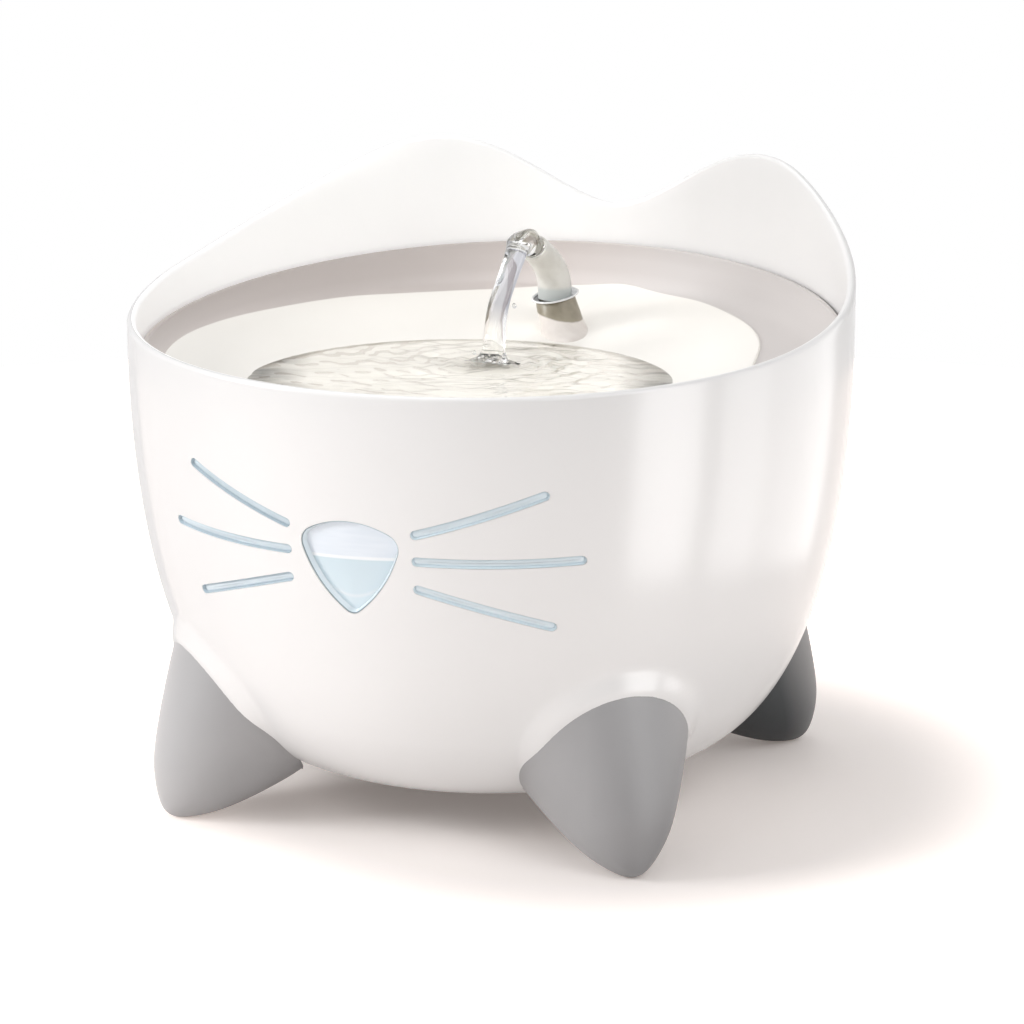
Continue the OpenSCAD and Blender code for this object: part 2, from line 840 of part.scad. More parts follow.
// Box over the intake with upright slots, pushed onto the volute's front
cover_len = 11;
cover_t = 1.8;
module pump_cover() {
    color(DARK)
    difference() {
        rounded_block(pump_w, front_y, front_y + cover_len, pump_z, pump_z + pump_h, 3);
        translate([-pump_w / 2 + cover_t, front_y - 1, pump_z + cover_t])
            cube([pump_w - 2 * cover_t, cover_len - cover_t + 1, pump_h - 2 * cover_t]);
        for (i = [-3 : 3])
            translate([i * 5 - 1.1, front_y + 1, pump_z + 5]) cube([2.2, cover_len, pump_h - 10]);
    }
}

module intake_foam() {
    color(FOAM_GREY)
    difference() {
        translate([-pump_w / 2 + cover_t + 0.4, front_y + 3.6, pump_z + cover_t + 0.4])
            cube([pump_w - 2 * cover_t - 0.8, cover_len - cover_t - 3.6, pump_h - 2 * cover_t - 0.8]);
        on_pump_axis(front_y) cylinder(r = bush_r + 0.2, h = 8, $fn = 32);
    }
}

// Disc that turns over the intake eye behind the foam to set the flow
module flow_dial() {
    dial_t = 1.6;
    color(ICE_BLUE)
    on_pump_axis(front_y + 0.3) difference() {
        union() {
            cylinder(r = 9, h = dial_t, $fn = 64);
            translate([-1.5, 0, 0]) cube([3, 13, dial_t]);
        }
        translate([0, 0, -1]) cylinder(r = bush_r + run_gap, h = 4, $fn = 32);
        for (a = [-35, 35])
            rotate(a - 90) translate([5.9, 0, -1]) cylinder(r = 1.9, h = 4, $fn = 24);
    }
}

cup_foot_r = 7;
module at_suction_cups() {
    x_end = pump_w / 2 - cup_foot_r - 1;
    for (x = [-x_end, x_end], y = [motor_y + cup_foot_r + 2, volute_y - cup_foot_r])
        translate([x, y, pump_z]) children();
}

module suction_cups() {
    color(RUBBER)
    at_suction_cups() {
        translate([0, 0, -cup_stand]) difference() {
            cylinder(r1 = cup_foot_r, r2 = 2.5, h = cup_stand, $fn = 40);
            translate([0, 0, -eps]) cylinder(r1 = cup_foot_r - 1.4, r2 = 0.5, h = 2, $fn = 40);
        }
        cylinder(r = 2, h = 2.8, $fn = 32);
    }
}

coupling_len = 12;
module riser_coupling() {
    color(FROST)
    translate([0, spout_y, outlet_top_z - 4]) difference() {
        cylinder(r = outlet_r + 1.8, h = coupling_len);
        translate([0, 0, -1]) cylinder(r = outlet_r, h = 5);
        cylinder(r = riser_r + 0.3, h = far);
    }
}

// ---- Filter -----------------------------------------------------------------------------

cup_floor_z = deck_z - cup_depth;
deck_r = tank_in_r(deck_z) - 1;

module filter_deck() {
    grip_x = deck_r - 32;
    color(CREAM)
    difference() {
        union() {
            translate([0, 0, deck_z]) cylinder(r = deck_r, h = deck_t, $fn = 180);
            translate([0, 0, deck_z]) deck_edge();
            translate([0, -cup_y, cup_floor_z]) cylinder(r = cup_r, h = cup_depth + deck_t + 2);
            for (x = [-grip_x, grip_x])
                translate([x - 1.5, 2, deck_z]) cube([3, 26, 10]);
        }
        translate([0, -cup_y, cup_floor_z + deck_t]) cylinder(r = cup_r - deck_t, h = far);
        cup_slots();
        deck_slots();
        translate([0, spout_y, 0]) cylinder(r = outlet_r + 4, h = far);
    }
}

module deck_edge() {
    difference() {
        cylinder(r = deck_r, h = 5, $fn = 180);
        translate([0, 0, -1]) cylinder(r = deck_r - 2, h = 8, $fn = 180);
    }
}

module cup_slots() {
    for (i = [-5 : 5]) {
        x = i * 7;
        half = sqrt(pow(cup_r - 8, 2) - x * x);
        translate([x - 1.5, -cup_y - half, 0]) cube([3, 2 * half, cup_floor_z + 5]);
    }
}

// Short slots in rows at both sides, where overflow drops past the filter
module deck_slots() {
    for (side = [-1, 1], i = [0 : 5])
        rotate([0, 0, side > 0 ? -14 + i * 9 : 194 - i * 9])
            translate([deck_r - 22, -1.5, deck_z - 1]) cube([12, 3, 10]);
}

media_t = 13;
cartridge_gap = 0.8;
cartridge_r = cup_r - deck_t - cartridge_gap;
cartridge_z = cup_floor_z + deck_t;
module filter_cartridge() {
    wall = 1.6;
    height = media_t + 2 * wall;
    tab = [3, 32, 9];                        // finger tab on the lid
    color(WHITE)
    translate([0, -cup_y, cartridge_z]) difference() {
        union() {
            cylinder(r = cartridge_r, h = height);
            translate([-tab[0] / 2, -tab[1] / 2, height]) cube(tab);
        }
        translate([0, 0, wall]) cylinder(r = cartridge_r - wall, h = media_t);
        for (i = [0 : 7])
            rotate(i * 45 + 22.5) {
                translate([9, -3.5, -1]) cube([12, 7, height + 2]);
                translate([24, -7, -1]) cube([15, 14, height + 2]);
            }
        translate([-tab[0], -tab[1] / 4, height + 2]) cube([2 * tab[0], tab[1] / 2, tab[2] / 2]);
    }
}

module filter_media() {
    color(CARBON)
    translate([0, -cup_y, cartridge_z + 1.6]) cylinder(r = cartridge_r - 1.7, h = media_t);
}

// ---- Tray -------------------------------------------------------------------------------

// Space above the tray's dish: a tilted funnel for the wall and a shallow bowl for the floor.
// grow widens and lowers it by the wall's thickness.
module tray_space(grow = 0) {
    mouth_r = tray_r - tray_wall;
    rim_mid_z = (tray_front_z + tray_back_z) / 2;
    slope = (mouth_r - floor_r) / wall_depth;
    up = 16;
    down = 24;
    reach = tray_r + dish_y + 18;            // the dish's bowl goes past the tray's edge
    intersection() {
        translate([0, 0, rim_mid_z]) rotate([tray_tilt, 0, 0]) translate([0, 0, -down])
            cylinder(
                r1 = mouth_r - slope * down + grow,
                r2 = mouth_r + slope * up + grow,
                h = down + up,
                $fn = 180);
        translate([0, -dish_y, 0]) rotate_extrude($fn = 180)
            polygon(concat(
                [for (i = [0 : 8]) let (r = i * reach / 8) [r, dish_z - grow + r * r / (2 * dish_curve)]],
                [[reach, top_z], [0, top_z]]));
    }
}

stem_low_r = 8;
stem_top_r = 6.6;
ring_t = 1.2;
stem_top_z = collar_z - ring_t / 2;
stem_low_z = dish_z - tray_wall - 0.2;
sleeve_r = 5.5;                              // the elbow's sleeve, which turns inside the stem
sleeve_low_z = collar_z - 9;
bend_z = collar_z + 4;

module drinking_tray() {
    color(BAND_GREY)
    difference() {
        union() {
            tray_dish();
            translate([0, spout_y, stem_low_z])
                cylinder(r1 = stem_low_r, r2 = stem_top_r, h = stem_top_z - stem_low_z);
        }
        translate([0, spout_y, 0]) cylinder(r = riser_r + 0.05, h = top_z);
        translate([0, spout_y, sleeve_low_z]) cylinder(r = sleeve_r + run_gap, h = top_z);
        drain_slots();
    }
}

// Skirt, wall and floor in one thin shell, open underneath
module tray_dish() {
    difference() {
        intersection() {
            translate([0, 0, skirt_z]) cylinder(r = tray_r, h = top_z - skirt_z, $fn = 180);
            below_tray_rim();
        }
        tray_space();
        difference() {
            translate([0, 0, skirt_z - 1])
                cylinder(r = tray_r - tray_wall, h = top_z - skirt_z, $fn = 180);
            tray_space(tray_wall);
            tray_ribs();
        }
    }
}

// Stiffening ribs under the dish
module tray_ribs() {
    for (a = [30 : 60 : 330])
        rotate(a) translate([tray_r - 26, -0.9, skirt_z]) cube([30, 1.8, 20]);
}

// Slots with round ends along the pool's front edge: they keep the pool at its level
module drain_slots() {
    slot_r = 1.6;
    outer = floor_r - dish_y - 9;
    inner = outer - 12;
    for (i = [0 : drain_count - 1])
        translate([0, -dish_y, dish_z - 18])
            rotate(-90 + (i - (drain_count - 1) / 2) * 9)
                linear_extrude(40) bar_2d([inner, 0], [outer, 0], 2 * slot_r);
}

module riser_tube() {
    riser_low_z = outlet_top_z + 0.6;
    riser_top_z = bend_z - 0.4;
    color(FROST)
    translate([0, spout_y, 0]) difference() {
        union() {
            translate([0, 0, riser_low_z]) cylinder(r = riser_r, h = riser_top_z - riser_low_z);
            translate([0, 0, stem_low_z - 2]) cylinder(r = riser_r + 1.6, h = 2);
        }
        cylinder(r = riser_bore_r, h = top_z);
    }
}

module spout_collar() {
    color(CLEAR)
    translate([0, spout_y, stem_top_z]) difference() {
        union() {
            cylinder(r = collar_r - 0.6, h = ring_t);
            translate([0, 0, ring_t / 2]) rotate_extrude()
                translate([collar_r - 0.6, 0]) circle(r = ring_t / 2, $fn = 24);
        }
        translate([0, 0, -1]) cylinder(r = sleeve_r + run_gap, h = 4);
    }
}

// Elbow that turns on the riser and throws the water forwards
module spout_nozzle() {
    base_z = stem_top_z + ring_t;
    cuff_r = elbow_r + 0.4;
    color(FROST)
    translate([0, spout_y, 0]) difference() {
        union() {
            translate([0, 0, sleeve_low_z]) cylinder(r = sleeve_r, h = bend_z - sleeve_low_z);
            translate([0, 0, base_z]) cylinder(r = cuff_r, h = 2);
            translate([0, 0, base_z]) cylinder(r = elbow_r, h = bend_z - base_z);
            translate([0, 0, bend_z]) elbow_bend(elbow_r);
            translate([0, 0, bend_z]) elbow_mouth(cuff_r, -1, 3);
        }
        translate([0, 0, sleeve_low_z - 1])
            cylinder(r = riser_r + run_gap, h = bend_z - sleeve_low_z + 0.6);
        translate([0, 0, bend_z]) elbow_bend(elbow_bore_r);
        translate([0, 0, bend_z]) elbow_mouth(elbow_bore_r + 0.2, -1.5, 5);
    }
}

// Bend from straight up towards the nose
module elbow_bend(r) {
    translate([0, -elbow_bend, 0]) rotate([90, 0, 90])
        rotate_extrude(angle = elbow_angle) translate([elbow_bend, 0]) circle(r = r, $fn = 48);
}

// Straight length at the end of the bend, measured along it from the bend's end
module elbow_mouth(r, from, to) {
    translate([0, -elbow_bend, 0]) rotate([elbow_angle, 0, 0]) translate([0, elbow_bend, from])
        cylinder(r = r, h = to - from, $fn = 48);
}

// ---- Parts ------------------------------------------------------------------------------

outer_shell();
base_plate();
base_screws();
foot_front_left();
foot_front_right();
foot_back_left();
foot_back_right();
foot_screws();
nose_lens();
nose_gasket();
whisker_light_left();
whisker_light_right();
led_strip();
control_board();
dc_socket();
socket_nut();
inner_tank();
tank_seal();
pump_housing();
volute();
pump_cover();
impeller_shaft();
shaft_bushes();
intake_foam();
suction_cups();
riser_coupling();
impeller();
flow_dial();
filter_deck();
filter_cartridge();
filter_media();
drinking_tray();
riser_tube();
spout_collar();
spout_nozzle();
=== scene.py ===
"""Cat-head pet water fountain: the visible pieces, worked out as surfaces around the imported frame.

Sizes are millimetres until a mesh is made, and then metres. +Z is up and the nose faces -Y.
Angles round the bowl are counted from the nose, positive towards +X.
"""
import math

import bpy
import numpy as np
from mathutils import Matrix, Vector
from mathutils.geometry import delaunay_2d_cdt


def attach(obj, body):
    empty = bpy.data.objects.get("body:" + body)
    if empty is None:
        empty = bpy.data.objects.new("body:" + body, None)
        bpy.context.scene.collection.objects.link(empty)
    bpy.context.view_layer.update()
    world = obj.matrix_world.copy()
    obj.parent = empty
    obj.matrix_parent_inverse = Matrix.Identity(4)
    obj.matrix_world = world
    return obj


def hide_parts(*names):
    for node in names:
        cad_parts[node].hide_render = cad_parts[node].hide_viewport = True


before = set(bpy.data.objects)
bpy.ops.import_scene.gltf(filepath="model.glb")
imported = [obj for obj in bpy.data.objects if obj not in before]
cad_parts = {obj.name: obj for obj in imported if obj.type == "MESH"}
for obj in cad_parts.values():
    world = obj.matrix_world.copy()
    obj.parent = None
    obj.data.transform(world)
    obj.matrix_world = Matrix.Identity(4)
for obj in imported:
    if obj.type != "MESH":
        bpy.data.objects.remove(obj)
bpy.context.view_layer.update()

MM = 0.001
TAU = 2 * math.pi

# ---- Sizes that the pieces share with the frame ------------------------------------------------

# Bowl: widest radius and wall; heights of its base, its widest ring and its curve's pole; fullness
SHELL_R, SHELL_WALL = 120.0, 3.0
BASE_Z, WIDE_Z, POLE_Z, FULLNESS = 14.5, 152.7, 11.9, 5.1
# Edge of the bowl: place and height of the ears, the dip between them, and the sweep at the sides
EAR_X, EAR_Z, DIP_Z, DIP_SHAPE, EAR_FALL = 61.4, 201.5, 178.0, 0.83, 38.0
RIM_BASE_Z, RIM_SWEEP, RIM_REACH = 156.4, 10.2, 63.2
# Recess and opening under the bowl, and the ledge that carries the tray
PLATE_R, OPENING_R, RECESS_Z, FLOOR_Z = 60.3, 52.0, 16.1, 17.5
LEDGE_Z, LEDGE_T, LEDGE_R = 133.5, 2.2, 112.8
# Height of the supply inlet's middle
SOCKET_Z = 24.6
# Nose, and for each whisker its inner end and outer end (x, z) and how far it bows
NOSE_HALF_W, NOSE_TOP_Z, NOSE_TIP_Z = 16.2, 117.5, 87.3
WHISKER_W = 2.9
WHISKERS = (((21.6, 114.6), (59.0, 127.4), -0.5),
            ((21.6, 106.0), (68.0, 106.2), -0.35),
            ((21.6, 96.8), (59.0, 84.6), 0.3))
WINDOW_GAP = 0.09
# Feet: angles from the nose, oval seat, belly ball and tip ball
FOOT_ANGLES = {"foot_front_left": -45.0, "foot_front_right": 45.0,
               "foot_back_right": 132.0, "foot_back_left": -132.0}
FOOT_SEAT_Z, FOOT_HALF_W, FOOT_HALF_H, FOOT_SINK = 35.0, 29.8, 32.0, 6.2
FOOT_BELLY_R, BELLY_IN, BELLY_UP = 18.7, 10.7, 13.6
FOOT_TIP_R, FOOT_TIP_BALL, TIP_CUT = 111.9, 6.8, 0.4
# Raised land above each foot: height of its middle, radius, ramp, and how far it stands out
LAND_Z, LAND_R, LAND_RAMP, LAND_PROUD = 41.0, 28.8, 8.6, 3.2
# Tray: wall and edge, and the shallow dish with its lining
TRAY_R, TRAY_WALL, TRAY_FLOOR_R, TRAY_WALL_DEPTH = 116.2, 2.4, 101.0, 13.0
TRAY_FRONT_Z, TRAY_BACK_Z, SKIRT_Z = 146.5, 163.7, 136.3
DISH_Y, DISH_Z, DISH_CURVE, LINING_T = -26.0, 138.6, 690.0, 0.9
# Spout's axis and ring, the pool, and where the water lands in it
SPOUT_Y, COLLAR_Z, COLLAR_R = 59.0, 155.8, 8.25
POOL_Z, POOL_R = 142.25, 70.5
SPLASH = (0.3, -1.0)
# How far round from the nose the camera stands, and the unit vector to its right
VIEW_TURN = math.radians(21.6)
RIGHT_X, RIGHT_Y = 0.93, 0.368


# ---- Meshes from arrays ------------------------------------------------------------------------

def signed_volume(points, faces):
    """Sum over the faces' fans of a . (b x c) / 6: negative where the faces point inwards."""
    total = 0.0
    for size in {len(f) for f in faces}:
        f = np.array([f for f in faces if len(f) == size])
        for k in range(1, size - 1):
            a, b, c = points[f[:, 0]], points[f[:, k]], points[f[:, k + 1]]
            total += np.einsum("ij,ij->i", a, np.cross(b, c)).sum()
    return total / 6


def make_piece(name, shape, body, stands_for=(), materials=(), finish=None, crease=38.0):
    """A closed mesh from points in mm, turned outwards, smooth apart from edges sharper than crease.

    shape holds points and faces, and may hold a colour for every point, which goes into the attribute
    "tint". finish gives every face the number of its material.
    """
    points, faces, *tint = shape
    faces = [tuple(int(i) for i in f) for f in faces]
    if signed_volume(points, faces) < 0:
        faces = [f[::-1] for f in faces]
    mesh = bpy.data.meshes.new(name)
    mesh.from_pydata((points * MM).tolist(), [], faces)
    mesh.shade_smooth()
    mesh.set_sharp_from_angle(angle=math.radians(crease))
    for material in materials:
        mesh.materials.append(material)
    if tint:
        colours = mesh.attributes.new("tint", "FLOAT_COLOR", "POINT")
        colours.data.foreach_set("color", np.column_stack([tint[0], np.ones(len(points))]).ravel())
    if finish is not None:
        mesh.polygons.foreach_set("material_index", np.asarray(finish, dtype=np.int32))
    mesh.update()
    piece = bpy.data.objects.new(name, mesh)
    bpy.context.scene.collection.objects.link(piece)
    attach(piece, body)
    if stands_for:
        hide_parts(*stands_for)


def loop_quads(rows, columns, closed_rows=False):
    """Quads of a grid of points [row, column] whose columns wrap round, and whose rows may too."""
    r = np.arange(rows if closed_rows else rows - 1)[:, None]
    c = np.arange(columns)[None, :]
    below, above = r * columns, ((r + 1) % rows) * columns
    right = (c + 1) % columns
    return np.stack([below + c, below + right, above + right, above + c], -1).reshape(-1, 4)


def capped_tube(rings, first=None, last=None):
    """Points and faces of a stack of rings [row, column, xyz], closed by a fan to a pole at each end."""
    rows, columns = rings.shape[:2]
    points = rings.reshape(-1, 3)
    faces = loop_quads(rows, columns).tolist()
    turn = np.arange(columns)
    for pole, start in ((first, 0), (last, (rows - 1) * columns)):
        if pole is None:
            continue
        hub = np.full(columns, len(points))
        fan = np.stack([start + (turn + 1) % columns, start + turn, hub], -1)
        faces += (fan if start == 0 else fan[:, ::-1]).tolist()
        points = np.vstack([points, np.asarray(pole, dtype=float)[None]])
    return points, faces


def lathe_rings(radii, heights, centre=(0.0, 0.0), columns=96):
    """Rings of a profile (radius, height) turned round an upright axis through centre."""
    turn = np.arange(columns) * TAU / columns
    radii, heights = np.asarray(radii, float)[:, None], np.asarray(heights, float)[:, None]
    return np.stack([centre[0] + radii * np.cos(turn), centre[1] + radii * np.sin(turn),
                     heights + 0 * turn], -1)


def inside(points, outline):
    """True where a point lies inside a closed outline: an odd number of edges is crossed to its right."""
    x, y = points[:, 0][:, None], points[:, 1][:, None]
    a, b = outline, np.roll(outline, -1, axis=0)
    spans = (a[:, 1] > y) != (b[:, 1] > y)
    rise = np.where(b[:, 1] == a[:, 1], 1.0, b[:, 1] - a[:, 1])
    cross = a[:, 0] + (y - a[:, 1]) * (b[:, 0] - a[:, 0]) / rise
    return (spans & (x < cross)).sum(1) % 2 == 1


def pierced_panel(us, vs, outlines, clear, known, total):
    """Triangles that fill the rectangle us x vs of a grid round closed outlines.

    Grid points nearer to an outline than clear are left out. known gives the mesh's number of each
    grid point, which its border keeps, and total is the mesh's number of points so far. Returns the
    points that are new, the triangles and the points of each outline, numbered as in the mesh.
    """
    grid = np.stack(np.meshgrid(us, vs), -1)
    rows, columns = len(vs), len(us)
    keep = np.ones((rows, columns), bool)
    flat = grid.reshape(-1, 2)
    for outline in outlines:
        near = np.sqrt(((flat[:, None] - outline[None]) ** 2).sum(-1)).min(1) < clear
        keep &= ~(near | inside(flat, outline)).reshape(rows, columns)
    border = np.zeros_like(keep)
    border[[0, -1], :] = True
    border[:, [0, -1]] = True
    keep |= border
    number = np.full(keep.shape, -1)
    number[keep] = np.arange(keep.sum())
    points, edges, rims = [grid[keep]], [], []
    start = int(keep.sum())
    for outline in outlines:
        ids = start + np.arange(len(outline))
        points.append(outline)
        edges += list(zip(ids.tolist(), np.roll(ids, -1).tolist()))
        rims.append(ids)
        start += len(outline)
    points = np.vstack(points)
    out = delaunay_2d_cdt([Vector(p) for p in points], edges, [], 0, 1e-7)
    where = {source: k for k, sources in enumerate(out[3]) for source in sources}
    back = np.array([where[k] for k in range(len(points))])
    forward = np.full(len(out[0]), -1)
    forward[back] = np.arange(len(points))
    triangles = forward[np.array([f for f in out[2] if len(f) == 3])]
    middles = points[triangles].mean(1)
    hole = np.zeros(len(triangles), bool)
    for outline in outlines:
        hole |= inside(middles, outline)
    place = np.full(len(points), -1)
    place[number[border]] = known[border]
    fresh = place < 0
    place[fresh] = total + np.arange(fresh.sum())
    return points[fresh], place[triangles[~hole]], [place[ids] for ids in rims]


def hole_walls(outer_rims, inner_rims):
    """Quads from each hole's outline on one face to the same outline on the other face."""
    walls = [np.stack([outer, inner, np.roll(inner, -1), np.roll(outer, -1)], -1)
             for outer, inner in zip(outer_rims, inner_rims)]
    return np.vstack(walls).tolist()


# ---- Bowl surface ------------------------------------------------------------------------------

def bowl_radius(z):
    """Superellipse: R (1 - u^2)^(1/fullness), where u falls from the pole to 0 at the widest height."""
    u = (WIDE_Z - np.minimum(z, WIDE_Z)) / (WIDE_Z - POLE_Z)
    return SHELL_R * (1 - u * u) ** (1 / FULLNESS)


def curve_table(inset, samples=1400):
    """Heights and radii of the bowl's curve shifted inwards along its normal by inset."""
    z = BASE_Z + (WIDE_Z - BASE_Z) * np.linspace(0, 1, samples) ** 2
    slope = (bowl_radius(z + 0.02) - bowl_radius(z)) / 0.02
    length = np.sqrt(1 + slope * slope)
    return z + inset * slope / length, bowl_radius(z) - inset / length


CURVES = {inset: curve_table(inset) for inset in (0.0, SHELL_WALL)}


def wall_radius(z, inset=0.0):
    """Radius of the bowl's outside at a height, or of its inside where inset is the wall."""
    heights, radii = CURVES[inset]
    return np.interp(z, heights, radii)


def smooth_min(a, b, k):
    """Least of two values with a rounded change-over of about k."""
    return -k * np.logaddexp(-a / k, -b / k)


def rim_height(angle):
    """Height of the bowl's edge: an exponential sweep to the back, cut by two cosine ears."""
    middle = SHELL_R - SHELL_WALL / 2
    x, y = np.abs(middle * np.sin(angle)), -middle * np.cos(angle)
    side = RIM_BASE_Z + RIM_SWEEP * np.exp(y / RIM_REACH)
    ear = np.where(x < EAR_X,
                   DIP_Z + (EAR_Z - DIP_Z) * ((1 - np.cos(np.pi * x / EAR_X)) / 2) ** DIP_SHAPE,
                   EAR_Z - EAR_FALL * ((x - EAR_X) / EAR_X) ** 2)
    return smooth_min(side, ear, 1.2)


def around(angle, radius, z):
    """Point at an angle from the nose, a radius and a height."""
    angle, radius, z = np.broadcast_arrays(angle, radius, z)
    return np.stack([radius * np.sin(angle), -radius * np.cos(angle), z], -1)


def bowl_normal(angle, z):
    """Outward unit normal of the bowl's outside."""
    slope = (bowl_radius(z + 0.05) - bowl_radius(z)) / 0.05
    length = np.sqrt(1 + slope * slope)
    return np.stack(np.broadcast_arrays(np.sin(angle) / length, -np.cos(angle) / length,
                                        -slope / length), -1)


def land_height(points):
    """Swelling above each foot, a little wider than high: full near its axis, easing down to its edge."""
    height = np.zeros(points.shape[:-1])
    for degrees in FOOT_ANGLES.values():
        a = math.radians(degrees)
        centre, axis = around(a, bowl_radius(LAND_Z), LAND_Z), bowl_normal(a, np.float64(LAND_Z))
        rel = points - centre
        sideways = rel @ np.array([math.cos(a), math.sin(a), 0])
        away = np.sqrt(np.maximum((rel * rel).sum(-1) - (rel @ axis) ** 2 - 0.24 * sideways ** 2, 0))
        ramp = np.clip((LAND_R - away) / LAND_RAMP, 0, 1)
        front = (rel @ axis) > -LAND_R
        height = np.maximum(height, np.where(front, LAND_PROUD * ramp * ramp * (3 - 2 * ramp), 0))
    return height


def outer_points(angle, z):
    """The bowl's outside, with the lands above the feet raised along its normal."""
    points = around(angle, wall_radius(z), z)
    return points + land_height(points)[..., None] * bowl_normal(angle, z)


def seen_axes(x, y):
    """Distances to the right and away, as seen from the camera's side."""
    return RIGHT_X * x + RIGHT_Y * y, RIGHT_X * y - RIGHT_Y * x


# ---- Outlines in the face's plane (x, z) ---------------------------------------------------------

def arc_points(centre, radius, start, end, count):
    """Points on a circle from one angle to another, in degrees."""
    a = np.radians(np.linspace(start, end, count))
    return np.asarray(centre) + radius * np.stack([np.cos(a), np.sin(a)], -1)


def nose_outline(grow=0.0):
    """Four arcs from tip to top, tangent to each other, mirrored: a shield with a blunt tip."""
    tip_ball, corner_ball, top_r, side_r = 3.4, 5.2, 28.0, 42.0
    x, reach = NOSE_HALF_W - corner_ball, top_r - corner_ball
    corner = np.array([x, NOSE_TOP_Z - top_r + math.sqrt(reach * reach - x * x)])
    tip = np.array([0, NOSE_TIP_Z + tip_ball])
    a, b, v = side_r - corner_ball, side_r - tip_ball, tip - corner
    d = np.linalg.norm(v)
    along = (a * a - b * b + d * d) / (2 * d)
    off = math.sqrt(a * a - along * along)
    side = corner + v / d * along + np.array([v[1], -v[0]]) / d * off
    top = np.array([0, NOSE_TOP_Z - top_r])

    def heading(w):
        return math.degrees(math.atan2(w[1], w[0]))

    half = np.vstack([
        arc_points(tip, tip_ball + grow, -90, heading(tip - side), 7),
        arc_points(side, side_r + grow, heading(tip - side), heading(corner - side), 17)[1:],
        arc_points(corner, corner_ball + grow, heading(corner - side), heading(corner - top), 12)[1:],
        arc_points(top, top_r + grow, heading(corner - top), 90, 10)[1:]])
    return np.vstack([half, half[-2:0:-1] * [-1, 1]])


def whisker_outline(start, end, sag, half_width, side=1):
    """A bar with round ends whose middle line bows by sag: offsets to both sides of that line."""
    start, end = np.array(start), np.array(end)
    run = end - start
    length = np.linalg.norm(run)
    along, across = run / length, np.array([-run[1], run[0]]) / length
    t = np.linspace(0, 1, 22)
    middle = start + run * t[:, None] + across * (sag * 4 * t * (1 - t))[:, None]
    slope = np.gradient(sag * 4 * t * (1 - t), t * length)
    normal = across - along * slope[:, None]
    cap = np.radians(np.linspace(-90, 90, 11))[1:-1]
    far = middle[-1] + half_width * (np.cos(cap)[:, None] * along + np.sin(cap)[:, None] * across)
    near = middle[0] - half_width * (np.cos(cap)[:, None] * along + np.sin(cap)[:, None] * across)
    outline = np.vstack([middle - half_width * normal, far, (middle + half_width * normal)[::-1], near])
    return outline if side > 0 else outline[::-1] * [-1, 1]


def on_face(outline, height):
    """Outline points (x, z) put on the bowl's outside, moved out along its normal by height."""
    x, z = outline[..., 0], outline[..., 1]
    angle = np.arcsin(x / wall_radius(z))
    return around(angle, wall_radius(z), z) + np.asarray(height)[..., None] * bowl_normal(angle, z)


# ---- Materials -----------------------------------------------------------------------------------

def feed(target, values):
    """Give a node's inputs, by name or number, constants or other nodes' outputs."""
    for key, value in values.items():
        entry = target.inputs[key]
        if isinstance(value, bpy.types.NodeSocket):
            target.id_data.links.new(value, entry)
        else:
            entry.default_value = (*value, 1) if entry.type == "RGBA" else value


def node(tree, kind, values=None, **settings):
    """New shader node with its settings, and with its inputs fed."""
    made = tree.nodes.new("ShaderNode" + kind)
    for name, value in settings.items():
        setattr(made, name, value)
    feed(made, values or {})
    return made


def own_place(tree):
    """The piece's own coordinates."""
    return node(tree, "TexCoord").outputs["Object"]


def noise(tree, place, scale, detail=2.0, distortion=0.0):
    """Cloudy value around 0.5."""
    return node(tree, "TexNoise", {"Vector": place, "Scale": scale, "Detail": detail,
                                   "Distortion": distortion}).outputs["Fac"]


def calculate(tree, operation, *values):
    """Result of an arithmetic operation on one to three numbers."""
    return node(tree, "Math", dict(enumerate(values)), operation=operation).outputs["Value"]


def measure(tree, operation, *vectors):
    """Number that a vector operation gives, such as a length or a dot product."""
    return node(tree, "VectorMath", dict(enumerate(vectors)), operation=operation).outputs["Value"]


def ramp(tree, value, low, high, to_low=0.0, to_high=1.0, **settings):
    """Value stretched so that low gives to_low and high gives to_high, and held beyond both."""
    return node(tree, "MapRange", {"Value": value, "From Min": low, "From Max": high, "To Min": to_low,
                                   "To Max": to_high}, **settings).outputs["Result"]


def blend(tree, share, first, second, way="MIX"):
    """Colour that passes from the first to the second while share goes from 0 to 1."""
    return node(tree, "Mix", {"Factor": share, "A": first, "B": second}, data_type="RGBA",
                blend_type=way).outputs["Result"]


def new_group(name, entries, leaves):
    """Empty shader node group with named sockets, and the sockets to wire up inside it."""
    group = bpy.data.node_groups.new(name, "ShaderNodeTree")
    for label, kind, value in entries:
        entry = group.interface.new_socket(label, in_out="INPUT", socket_type="NodeSocket" + kind)
        entry.default_value = value
    for label, kind in leaves:
        group.interface.new_socket(label, in_out="OUTPUT", socket_type="NodeSocket" + kind)
    return group, group.nodes.new("NodeGroupInput").outputs, group.nodes.new("NodeGroupOutput")


